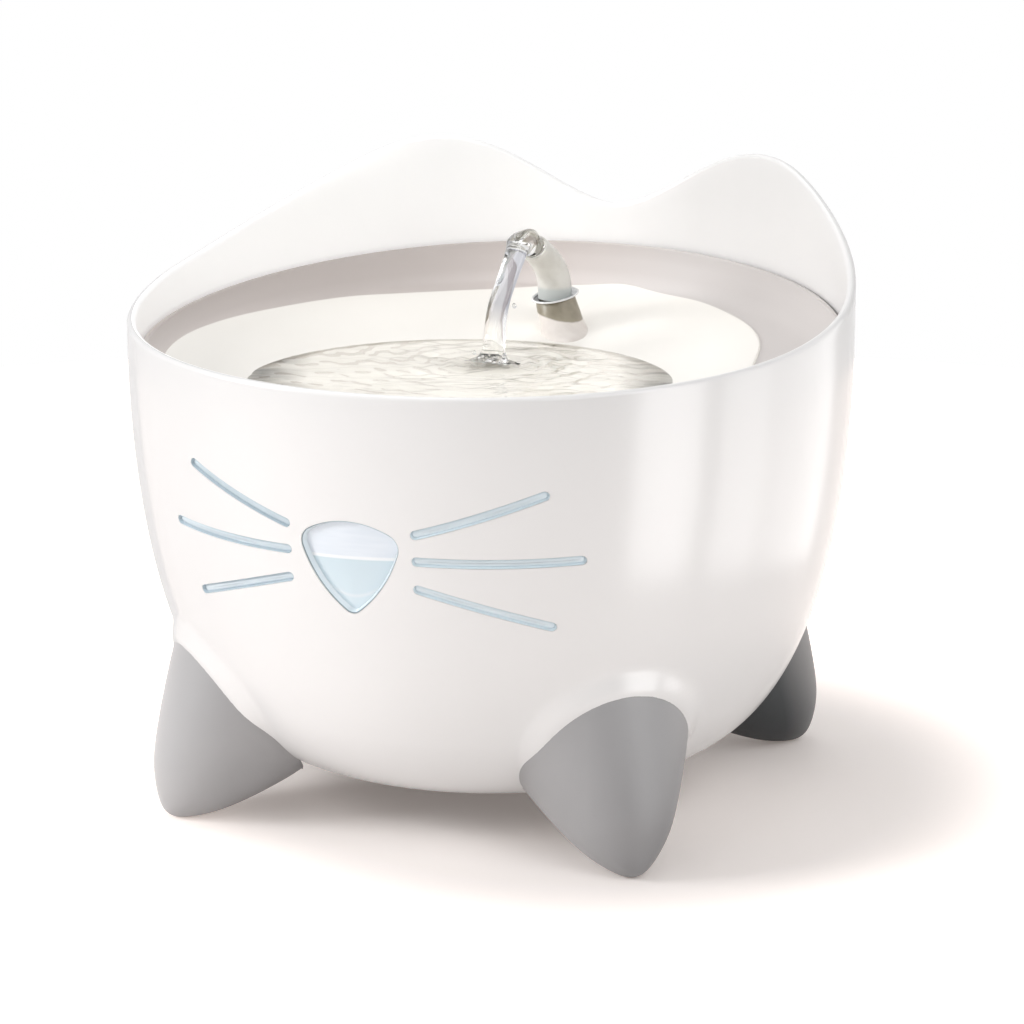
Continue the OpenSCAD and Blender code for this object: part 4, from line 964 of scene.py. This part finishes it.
def paint_stem_shadow():
    """Painted shadow of the ring: warm grey-brown above a wavy edge that falls to the right, and pale pinkish
    white below it.
    """
    material, tree, shader = plain_shader("stem_painted_shadow")
    place = own_place(tree)
    x, _, z = node(tree, "SeparateXYZ", {"Vector": place}).outputs
    cloud = noise(tree, place, 260)
    wavy = calculate(tree, "MULTIPLY_ADD", cloud, 0.0006, z)
    edge = ramp(tree, calculate(tree, "MULTIPLY_ADD", x, 0.13, wavy), 0.1493, 0.1497)
    # Painted shadow: the grey-brown upper part stands in for the ring's shadow on the stem.
    brown = blend(tree, cloud, (0.20, 0.175, 0.125), (0.39, 0.345, 0.265))
    pale = blend(tree, cloud, (0.68, 0.62, 0.58), (0.84, 0.79, 0.74))
    feed(shader, {"Base Color": blend(tree, edge, pale, brown), "Roughness": 0.38, "Coat Weight": 0.1})
    return material


STEM_SHADOW_PAINTED = paint_stem_shadow()


def lean(points, share):
    """Points of the spout's ring and stem, tilted: lowest at the front left, highest at the back right."""
    x, y = points[..., 0], points[..., 1] - SPOUT_Y
    tilted = points.copy()
    tilted[..., 2] += share * (0.12 * x + 0.17 * y)
    return tilted


def stem_shape():
    """Oval rings, turned towards the camera's side, whose middle drifts to the right and the front as
    they come down, onto a swept foot.
    """
    z = np.array([138.0, 142.0, 143.6, 144.6, 146.0, 148.0, 150.2, 152.4, 154.0, 154.7])
    across = np.array([8.8, 8.8, 8.6, 8.1, 7.7, 7.5, 7.3, 7.0, 6.7, 6.5])
    deep = np.array([15.2, 15.2, 14.3, 12.4, 10.6, 9.2, 8.1, 7.3, 6.8, 6.5])
    drift = np.clip((155.0 - z) / 12.0, 0, 1)
    rings = lathe_rings(np.ones(len(z)), z, (0, 0), 72)
    right = rings[..., 0] * across[:, None] + (3.9 * drift ** 1.3)[:, None]
    back = rings[..., 1] * deep[:, None] - (6.0 * drift ** 1.6)[:, None]
    rings[..., 0] = RIGHT_X * right - RIGHT_Y * back
    rings[..., 1] = SPOUT_Y + RIGHT_Y * right + RIGHT_X * back
    rings = lean(rings, np.clip((z - 147) / 7, 0, 1)[:, None])
    return capped_tube(rings, rings[0].mean(0), rings[-1].mean(0))


make_piece("spout_stem", stem_shape(), "tray", ("drinking_tray",), [STEM_SHADOW_PAINTED])


def ring_shape():
    """Turned ring: a rolled white edge round a channel that is black on the left, which is painted shade, and
    grey on the right.
    """
    columns, roll, bore = 96, 0.34, 5.7
    low, floor = COLLAR_Z - 1.2, COLLAR_Z - 0.7
    a = np.radians(np.linspace(-90, 150, 13))
    r = np.concatenate([[bore], COLLAR_R - roll + roll * np.cos(a), [COLLAR_R - 0.7, 7.3, 6.5, bore]])
    z = np.concatenate([[low], COLLAR_Z - 0.4 + roll * np.sin(a), [floor + 0.2, floor, floor, floor]])
    points = lean(lathe_rings(r, z, (0, SPOUT_Y), columns).reshape(-1, 3), 1.0)
    # Painted shade: the channel turns black towards the camera's left.
    share = np.clip((seen_axes(points[:, :1], points[:, 1:2] - SPOUT_Y)[0] + 5.8) / 3.2, 0, 1)
    channel = np.array([0.012, 0.014, 0.018]) + share * np.array([0.50, 0.51, 0.52])
    rolled = (np.hypot(points[:, 0], points[:, 1] - SPOUT_Y) > COLLAR_R - 0.72)[:, None]
    faces = loop_quads(len(r), columns, closed_rows=True).tolist()
    return points, faces, np.where(rolled, 0.82, channel)


make_piece("spout_ring", ring_shape(), "tray", ("spout_collar",), [RING_POLISHED])

# Middle line of the elbow: y, z, radius and x
ELBOW_PATH = np.array([
    (59.0, 154.4, 5.85, 0), (59.0, 157.2, 5.85, 0), (58.8, 159.6, 5.8, -0.1), (58.1, 162.0, 5.7, -0.3),
    (56.8, 164.6, 5.55, -0.6), (54.9, 167.2, 5.35, -1.1), (52.5, 169.6, 5.15, -1.8),
    (49.9, 171.8, 4.95, -2.5), (47.4, 173.7, 4.8, -3.1)])


def smoothed(table, rows, width):
    """A table of numbers read off at rows even steps and smoothed with a bell of that width."""
    t = np.linspace(0, len(table) - 1, rows)
    track = np.stack([np.interp(t, np.arange(len(table)), column) for column in table.T], -1)
    bell = np.hanning(width + 2)[1:-1]
    half = width // 2
    ahead = 2 * track[:1] - track[half:0:-1]
    behind = 2 * track[-1:] - track[-2:-half - 2:-1]
    track = np.concatenate([ahead, track, behind])
    return np.stack([np.convolve(column, bell / bell.sum(), "valid") for column in track.T], -1)


def path_frame(track):
    """Middle points of a smoothed path, its heading, and two unit vectors across it: sideways and up."""
    middle = track[:, [3, 0, 1]]
    heading = np.gradient(middle, axis=0)
    heading /= np.linalg.norm(heading, axis=1)[:, None]
    side = np.array([1.0, 0, 0]) - heading[:, :1] * heading
    side /= np.linalg.norm(side, axis=1)[:, None]
    return middle, heading, side, np.cross(side, heading)


def nozzle_shape():
    """Elbow tube along its path, tapering to a rounded mouth, and the bore back down into it."""
    track = smoothed(ELBOW_PATH, 41, 9)
    middle, heading, side, up = path_frame(track)
    turn = (np.arange(64) * TAU / 64)[:, None]

    def ring(k, radius, ahead=0.0):
        return middle[k] + heading[k] * ahead + radius * (np.cos(turn) * side[k] + np.sin(turn) * up[k])

    end = track[-1, 2]
    rings = [ring(k, track[k, 2]) for k in range(len(track))]
    rings += [ring(-1, end - 0.5 * (1 - math.cos(a)), 0.6 * math.sin(a))
              for a in np.radians(range(20, 180, 20))]
    rings += [ring(k, end - 1.0) for k in range(len(track) - 1, 3, -2)]
    return capped_tube(np.stack(rings), middle[0], middle[4])


make_piece("nozzle_elbow", nozzle_shape(), "nozzle", ("spout_nozzle",), [NOZZLE_FROSTED],
           crease=50)

# ---- Water -----------------------------------------------------------------------------------------

def ripple(x, y):
    """Decaying rings round the splash, plus three crossing trains of small waves."""
    d = np.hypot(x - SPLASH[0], y - SPLASH[1])
    rings = 0.55 * np.exp(-d / 26.0) * np.cos(d * 0.95) + 0.28 * np.exp(-d / 60) * np.cos(d * 0.42 + 1.0)
    wobble = (0.10 * np.sin(0.31 * x + 0.17 * y + 1.3) + 0.09 * np.sin(-0.22 * x + 0.37 * y)
              + 0.07 * np.sin(0.55 * x - 0.12 * y + 2.1) + 0.05 * np.sin(0.15 * x + 0.81 * y + 0.4))
    return rings + wobble


def pool_painted_shade(rings, share, away):
    """Painted shade for every point of the pool's rings: darker at the back shore, at both tips, in a
    slanting streak near the left one, and round the foot of the splash with a tail to its left.
    """
    right, depth = seen_axes(rings[..., 0], rings[..., 1])
    shore = 0.42 * np.clip((share - 0.93) / 0.03, 0, 1) * np.clip(0.25 + away * 1.6, 0, 1)
    tips = 0.42 * np.clip((np.abs(right + 9.6) - 52) / 13, 0, 1)
    along, off = 0.84 * (right + 63) - 0.54 * (depth + 35), 0.54 * (right + 63) + 0.84 * (depth + 35)
    streak = 0.45 * np.exp(-(off / 3.2) ** 2 - (along / 9) ** 2) + 0.09 * np.clip((-18 - right) / 14, 0, 1)
    x, y = rings[..., 0] - SPLASH[0], rings[..., 1] - SPLASH[1]
    tail = np.clip(-x / 18, 0, 1) * np.clip((34 - np.abs(right)) / 20, 0, 1)
    foot = (0.5 * np.exp(-(np.hypot((x + 1.5) / 1.3, y + 2) / 7.5) ** 2)
            + 0.16 * tail * np.exp(-(y / 4.0) ** 2))
    light = (1 - shore) * (1 - tips) * (1 - foot) * (1 - streak)
    return 1 - (1 - light)[..., None] * np.array([0.90, 0.93, 1.0])


def pool_shape():
    """A lens of water: a rippled top that fades out at the shore, over the lining's own curve.

    The shore is a circle that is drawn in a little at the back and at the right.
    """
    columns, under, low_rows = 260, LINING_T - 0.04, 14
    turn = np.arange(columns) * TAU / columns
    away, right = np.sin(turn - VIEW_TURN), np.cos(turn - VIEW_TURN)
    reach = POOL_R - 6.5 * np.clip(away, 0, 1) ** 1.3 - 1.8 * np.clip(right, 0, 1) ** 2
    share = np.concatenate([np.linspace(0.015, 0.93, 78), np.linspace(0.94, 1.0, 9)])
    rows = []
    for f in share:
        x, y = reach * f * np.cos(turn), DISH_Y + reach * f * np.sin(turn)
        calm = np.clip((1 - f) / 0.07, 0, 1)
        edge = 0.35 * math.sqrt(max(0.0, 1 - f ** 4))
        waves = ripple(x, y) * (0.25 + 0.75 * calm) * (f < 1)
        rows.append(np.stack([x, y, POOL_Z + 0.75 + edge + waves], -1))
    for f in np.linspace(0.999, 0.1, low_rows):
        x, y = reach * f * np.cos(turn), DISH_Y + reach * f * np.sin(turn)
        rows.append(np.stack([x, y, tray_top(x, y) + under], -1))
    rings = np.stack(rows)
    top = POOL_Z + 1.1 + float(ripple(np.array(0.0), np.array(DISH_Y)))
    points, faces = capped_tube(rings, (0, DISH_Y, top), (0, DISH_Y, DISH_Z + under))
    tint = pool_painted_shade(rings, np.concatenate([share, np.ones(low_rows)])[:, None], away)
    return points, faces, np.vstack([tint.reshape(-1, 3), np.ones((2, 3))])


def streaked_water():
    """Water with painted reflection and shade: long thin curved streaks, contour lines of a stretched noise,
    strongest at the splash and at both tips of the pool, over soft grey patches.
    """
    material, tree, shader = plain_shader("pool_water")
    turned = node(tree, "Mapping", {"Vector": own_place(tree), "Location": (0, 0, -POOL_Z * MM),
                                    "Rotation": (0, 0, -VIEW_TURN)}).outputs["Vector"]
    stretched = node(tree, "Mapping", {"Vector": turned, "Scale": (19, 150, 60)}).outputs["Vector"]
    lines, patches = noise(tree, stretched, 1.0, distortion=0.6), noise(tree, stretched, 0.55)
    near = calculate(tree, "ABSOLUTE", calculate(tree, "SUBTRACT", lines, 0.5))
    thin = ramp(tree, near, 0.0, 0.026, 1.0, 0.0)
    right = node(tree, "SeparateXYZ", {"Vector": turned}).outputs["X"]
    shifted = calculate(tree, "ADD", right, 0.0096)
    tips = ramp(tree, calculate(tree, "ABSOLUTE", shifted), 0.050, 0.066)
    spread = ramp(tree, measure(tree, "LENGTH", turned), 0.006, 0.055, 1.0, 0.7)
    uneven = ramp(tree, shifted, -0.045, 0.02, 0.3, 1.0)
    strength = calculate(tree, "MAXIMUM", calculate(tree, "MULTIPLY", spread, uneven), tips)
    soft = ramp(tree, patches, 0.35, 0.62, 0.0, 0.55)
    base = blend(tree, soft, (0.955, 0.95, 0.935), (0.72, 0.715, 0.69))
    # Painted shade: both tips of the pool are darkened.
    tip_shade = calculate(tree, "MULTIPLY", tips, ramp(tree, lines, 0.35, 0.6, 0.35, 1.0))
    shore = blend(tree, tip_shade, base, (0.10, 0.105, 0.10))
    drawn = blend(tree, calculate(tree, "MULTIPLY", strength, thin), shore, (0.17, 0.15, 0.12))
    tint = node(tree, "Attribute", attribute_name="tint").outputs["Color"]
    feed(shader, {"Base Color": blend(tree, 1.0, drawn, tint, "MULTIPLY"), "Roughness": 0.03, "IOR": 1.33,
                  "Transmission Weight": 1.0})
    return material


POOL_WATER = streaked_water()
JET_WATER = tinted("jet_water", 0.02, 1.33, 1.0)
DROP_WATER = clear("drop_water", (0.95, 0.96, 0.97), (0.70, 0.71, 0.74), 0.02, 1.33, 400.0)

make_piece("pool", pool_shape(), "tray", (), [POOL_WATER], crease=75)

# Middle line of the stream: y, z, radius and x
JET_PATH = np.array([
    (49.0, 172.4, 3.2, -2.7), (47.9, 173.3, 3.5, -3.0), (46.5, 174.1, 4.0, -3.3), (44.5, 175.4, 4.7, -3.8),
    (41.5, 177.0, 5.0, -4.6), (35.8, 177.3, 4.3, -3.6), (28.8, 174.0, 3.7, -2.4), (22.3, 169.0, 3.5, -1.9),
    (16.2, 164.3, 3.55, -1.8), (10.9, 160.4, 3.7, -1.6), (6.7, 156.5, 3.75, -1.1), (3.6, 152.2, 3.8, -0.6),
    (1.5, 148.2, 3.8, -0.25), (0.2, 145.6, 4.4, 0), (-0.2, 144.2, 5.8, 0), (-0.4, 143.4, 7.6, 0)])


def jet_shape():
    """Arching stream along a smoothed path: long flutes that turn slowly, wrinkles on the arch, and a lumpy
    crown where it lands. Returns its points and faces, and a tint for every point, which is painted shade and
    reflection on the clear water.
    """
    rows, columns = 210, 72
    track = smoothed(JET_PATH, rows, 19)
    middle, heading, across, up = path_frame(track)
    turn = np.arange(columns)[None] * TAU / columns
    s = np.linspace(0, 1, rows)[:, None]
    arch = np.clip(s / 0.06, 0, 1) * np.clip((0.42 - s) / 0.1, 0, 1)
    crown = np.clip((s - 0.88) / 0.08, 0, 1)
    flutes = (0.09 * np.sin(2 * turn + 6 * s + 0.4) + 0.07 * np.sin(3 * turn - 9 * s + 1)
              + 0.05 * np.sin(15 * s + 0.6) * np.cos(turn + 5 * s))
    wrinkles = (0.075 * np.sin(64 * s + 1.7 * np.sin(turn) + 0.8 * np.sin(3 * turn))
                * (0.6 + 0.4 * np.sin(turn)))
    lumps = 0.16 * np.sin(7 * turn + 30 * s) + 0.09 * np.sin(11 * turn - 40 * s)
    r = track[:, 2:3] * (1 + np.clip(s * 12, 0, 1) * flutes + arch * wrinkles + crown * lumps)
    rings = (middle[:, None] + (r * np.cos(turn))[..., None] * across[:, None]
             + (r * np.sin(turn))[..., None] * up[:, None])
    rings[..., 0] += 0.35 * np.sin(8 * s + 0.5) * np.clip(s * 4, 0, 1)
    rings[..., 2] = np.maximum(rings[..., 2], POOL_Z + 0.8)
    end = rings[-1].mean(0)
    points, faces = capped_tube(rings, middle[0], (end[0], end[1], POOL_Z + 0.8))
    # Painted shade and reflection: brown in the arch's folds, lavender on one side of the body, grey round
    # the crown.
    white, brown = np.array([0.985, 0.985, 0.98]), np.array([0.29, 0.27, 0.22])
    lavender, grey = np.array([0.42, 0.44, 0.53]), np.array([0.55, 0.56, 0.55])
    fold_shade = arch * np.clip(0.5 + 1.2 * np.sin(64 * s + 1.7 * np.sin(turn) + 2.2), 0, 1)
    body = (np.clip((s - 0.22) / 0.08, 0, 1) * np.clip((0.70 - s) / 0.12, 0, 1)
            * np.clip(0.55 + 0.9 * np.sin(turn + 5 * s - 2.6) + 0.35 * np.sin(3 * turn - 9 * s), 0, 1))
    foot = crown * np.clip(0.5 + 0.8 * np.sin(3 * turn + 1.5), 0, 1)
    tint = white + 0 * turn[..., None]
    for mask, colour in ((fold_shade, brown), (body, lavender), (foot, grey)):
        tint = tint + mask[..., None] * (colour - tint)
    return points, faces, np.vstack([tint.reshape(-1, 3), white, grey])


make_piece("water_jet", jet_shape(), "nozzle", (), [JET_WATER], crease=80)


def droplet_shape(x, y, z, r):
    """A falling drop: a ball drawn out a little at the top."""
    lift = np.radians(np.linspace(8, 172, 18))[:, None]
    turn = (np.arange(24) * TAU / 24)[None]
    stretch = 1 + 0.35 * np.clip(np.cos(lift), 0, 1) ** 2
    rings = np.stack([x + r * np.sin(lift) * np.cos(turn), y + r * np.sin(lift) * np.sin(turn),
                      z + r * np.cos(lift) * stretch + 0 * turn], -1)
    return capped_tube(rings, (x, y, z + r * 1.35), (x, y, z - r))


# Place and radius of each falling drop
DROPS = ((3.4, 12.0, 160.5, 0.75), (6.0, -3.5, 146.8, 0.8), (-6.5, 1.0, 146.0, 0.65))
for number, drop in enumerate(DROPS, 1):
    make_piece(f"droplet_{number}", droplet_shape(*drop), "nozzle", (), [DROP_WATER],
               crease=80)

# ---- Pieces that keep the frame's own shape ----------------------------------------------------------

BLACK_PLASTIC = moulded("black_satin_plastic", (0.03, 0.03, 0.033), (0.045, 0.045, 0.05),
                        (0.35, 0.5), 2200, 0.12, 30.0)
STEEL = moulded("screw_steel", (0.60, 0.61, 0.63), (0.5, 0.51, 0.53), (0.2, 0.35), 1500, 0.06, 60.0,
                metallic=1.0)
TANK_WHITE = moulded("tank_satin_white", (0.80, 0.80, 0.78), (0.76, 0.76, 0.74), (0.22, 0.32),
                     1200, 0.04, 9.0)
DECK_CREAM = moulded("deck_satin_cream", (0.78, 0.75, 0.68), (0.74, 0.71, 0.64), (0.3, 0.42),
                     1300, 0.06, 16.0)
CARTRIDGE_WHITE = moulded("cartridge_white", (0.82, 0.82, 0.82), (0.76, 0.76, 0.76), (0.4, 0.55),
                          1500, 0.1, 22.0)
SEAL_RUBBER = moulded("seal_rubber", (0.06, 0.06, 0.065), (0.09, 0.09, 0.095), (0.55, 0.7), 1800, 0.2, 40.0)
CERAMIC = moulded("shaft_ceramic", (0.82, 0.8, 0.76), (0.76, 0.74, 0.7), (0.12, 0.2), 900, 0.02, 60.0)
DIAL_BLUE = moulded("dial_blue", (0.22, 0.42, 0.55), (0.18, 0.36, 0.48), (0.3, 0.42), 1500, 0.08, 60.0)
BOARD_GREEN = moulded("board_green", (0.03, 0.16, 0.08), (0.02, 0.11, 0.06), (0.25, 0.4), 900, 0.1, 90.0)
STRIP_CREAM = moulded("lamp_strip", (0.82, 0.78, 0.62), (0.72, 0.68, 0.52), (0.35, 0.5), 900, 0.06, 120.0)
FOAM = moulded("filter_foam", (0.10, 0.11, 0.12), (0.04, 0.045, 0.05), (0.8, 0.95), 700, 1.0, 420.0)
CARBON = moulded("filter_carbon", (0.035, 0.033, 0.03), (0.10, 0.095, 0.09), (0.7, 0.95), 500, 1.0, 600.0)
TUBE_FROSTED = clear("frosted_tube", (0.84, 0.87, 0.86), (0.74, 0.77, 0.76), 0.35, 1.4, 80.0)

NODE_FINISH = {
    "base_plate": BLACK_PLASTIC, "base_screws": STEEL, "foot_screws": STEEL, "nose_gasket": SEAL_RUBBER,
    "led_strip": STRIP_CREAM, "control_board": BOARD_GREEN, "dc_socket": BLACK_PLASTIC,
    "socket_nut": STEEL, "inner_tank": TANK_WHITE, "tank_seal": SEAL_RUBBER,
    "pump_housing": BLACK_PLASTIC, "volute": BLACK_PLASTIC, "pump_cover": BLACK_PLASTIC,
    "impeller_shaft": CERAMIC, "shaft_bushes": CERAMIC, "intake_foam": FOAM, "suction_cups": SEAL_RUBBER,
    "riser_coupling": TUBE_FROSTED, "impeller": BLACK_PLASTIC, "flow_dial": DIAL_BLUE,
    "filter_deck": DECK_CREAM, "filter_cartridge": CARTRIDGE_WHITE, "filter_media": CARBON,
    "riser_tube": TUBE_FROSTED}
for covered, material in NODE_FINISH.items():
    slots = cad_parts[covered].data.materials
    slots.clear()
    slots.append(material)

# ---- Floor, light and camera ---------------------------------------------------------------------------

# Glow of the floor under the fountain, its least share for other than direct sight, and where it rises
FLOOR_GLOW, LEAST_GLOW, RISE_MIDDLE, RISE_FROM, RISE_TO = 0.18, 0.15, (0.030, 0.012, 0), 0.105, 0.19


def seen_directly(tree):
    """1 for what the camera sees, also in a mirror or through glass, and 0 for light on other things."""
    path = node(tree, "LightPath").outputs
    seen = calculate(tree, "MAXIMUM", path["Is Camera Ray"], path["Is Glossy Ray"])
    return calculate(tree, "MAXIMUM", seen, path["Is Transmission Ray"])


def floor_finish():
    """Pale floor that glows a little where it is seen, up to white further out."""
    material, tree, shader = plain_shader("floor_pale")
    feed(shader, {"Base Color": (0.87, 0.84, 0.825), "Roughness": 0.6})
    away = measure(tree, "DISTANCE", own_place(tree), RISE_MIDDLE)
    rise = ramp(tree, away, RISE_FROM, RISE_TO, FLOOR_GLOW, 0.9, interpolation_type="SMOOTHSTEP")
    least = calculate(tree, "MAXIMUM", seen_directly(tree), LEAST_GLOW)
    # Painted light: the glow's warm colour stands in for warm light bounced into the shadow under the
    # fountain.
    glow = node(tree, "Emission", {"Color": (1.0, 0.87, 0.80),
                                   "Strength": calculate(tree, "MULTIPLY", least, rise)})
    both = node(tree, "AddShader", {0: shader.outputs["BSDF"], 1: glow.outputs["Emission"]})
    feed(tree.nodes["Material Output"], {"Surface": both.outputs["Shader"]})
    return material


def floor_disc():
    """Plain round floor, so wide that only the fountain's shadow shows on it."""
    radii = np.array([20.0, 120, 220, 320, 480, 700, 700])
    heights = np.array([0.0, 0, 0, 0, 0, 0, -4])
    points, faces = capped_tube(lathe_rings(radii, heights), (0, 0, 0), (0, 0, -4))
    mesh = bpy.data.meshes.new("floor")
    mesh.from_pydata((points * MM).tolist(), [], faces)
    mesh.materials.append(floor_finish())
    floor = bpy.data.objects.new("floor", mesh)
    bpy.context.scene.collection.objects.link(floor)


floor_disc()


def studio_world(ambient, shown):
    """Plain white surround: a soft level for lighting, and white where it is seen or mirrored."""
    world = bpy.data.worlds.new("studio")
    bpy.context.scene.world = world
    world.use_nodes = True
    tree = world.node_tree
    level = calculate(tree, "MULTIPLY_ADD", seen_directly(tree), shown - ambient, ambient)
    feed(tree.nodes["Background"], {"Color": (1, 1, 1), "Strength": level})


studio_world(0.235, 1.0)


def softbox(name, place, target, width, height, power, only_mirrored=False):
    """Rectangular lamp at a place, turned to face a target."""
    lamp = bpy.data.lights.new(name, "AREA")
    lamp.shape, lamp.size, lamp.size_y = "RECTANGLE", width, height
    lamp.energy = power
    lamp_object = bpy.data.objects.new(name, lamp)
    place, target = Vector(place), Vector(target)
    turn = (target - place).to_track_quat("-Z", "Y").to_matrix().to_4x4()
    lamp_object.matrix_world = Matrix.Translation(place) @ turn
    lamp_object.visible_camera = False
    lamp_object.visible_diffuse = not only_mirrored
    bpy.context.scene.collection.objects.link(lamp_object)


def strip(name, degrees, width, level):
    """Upright light panel close to the bowl, at an angle from the nose: seen only as a reflection."""
    a, distance, height = math.radians(degrees), 0.275, 0.34
    softbox(name, (distance * math.sin(a), -distance * math.cos(a), height / 2), (0, 0, height / 2),
            width, height, level * math.pi * width * height, only_mirrored=True)


softbox("key_softbox", (-0.35, -1.20, 0.75), (0, 0, 0.1), width=0.9, height=0.7, power=2.2)
softbox("right_softbox", (0.90, -0.55, 0.85), (0, 0, 0.1), width=0.8, height=0.8, power=5.2)
softbox("top_softbox", (-0.48, 0.20, 1.55), (0, 0, 0.1), width=0.9, height=0.9, power=9.5)
softbox("left_softbox", (-0.95, -0.64, 0.55), (0, 0, 0.08), width=0.5, height=0.4, power=8.2)
strip("right_strip", 67, width=0.090, level=4.6)
strip("middle_right_strip", 91, width=0.085, level=3.3)
strip("back_right_strip", 118, width=0.165, level=2.1)

# Camera: place in metres, turned round from the nose by VIEW_TURN and looking down a little
CAMERA_PLACE, CAMERA_PITCH, CAMERA_LENS = Vector((0.45825, -1.13877, 0.40824)), math.radians(14.44), 132.87


def set_camera():
    """Camera on the shared view, looking along the direction that the two angles give."""
    lens = bpy.data.cameras.new("camera")
    lens.sensor_width, lens.lens = 36.0, CAMERA_LENS
    lens.clip_start, lens.clip_end = 0.05, 20.0
    camera = bpy.data.objects.new("camera", lens)
    bpy.context.scene.collection.objects.link(camera)
    level = math.cos(CAMERA_PITCH)
    forward = Vector((-math.sin(VIEW_TURN) * level, math.cos(VIEW_TURN) * level, -math.sin(CAMERA_PITCH)))
    turn = forward.to_track_quat("-Z", "Y").to_matrix().to_4x4()
    camera.matrix_world = Matrix.Translation(CAMERA_PLACE) @ turn
    bpy.context.scene.camera = camera


set_camera()

bpy.context.scene.view_settings.view_transform = "Standard"
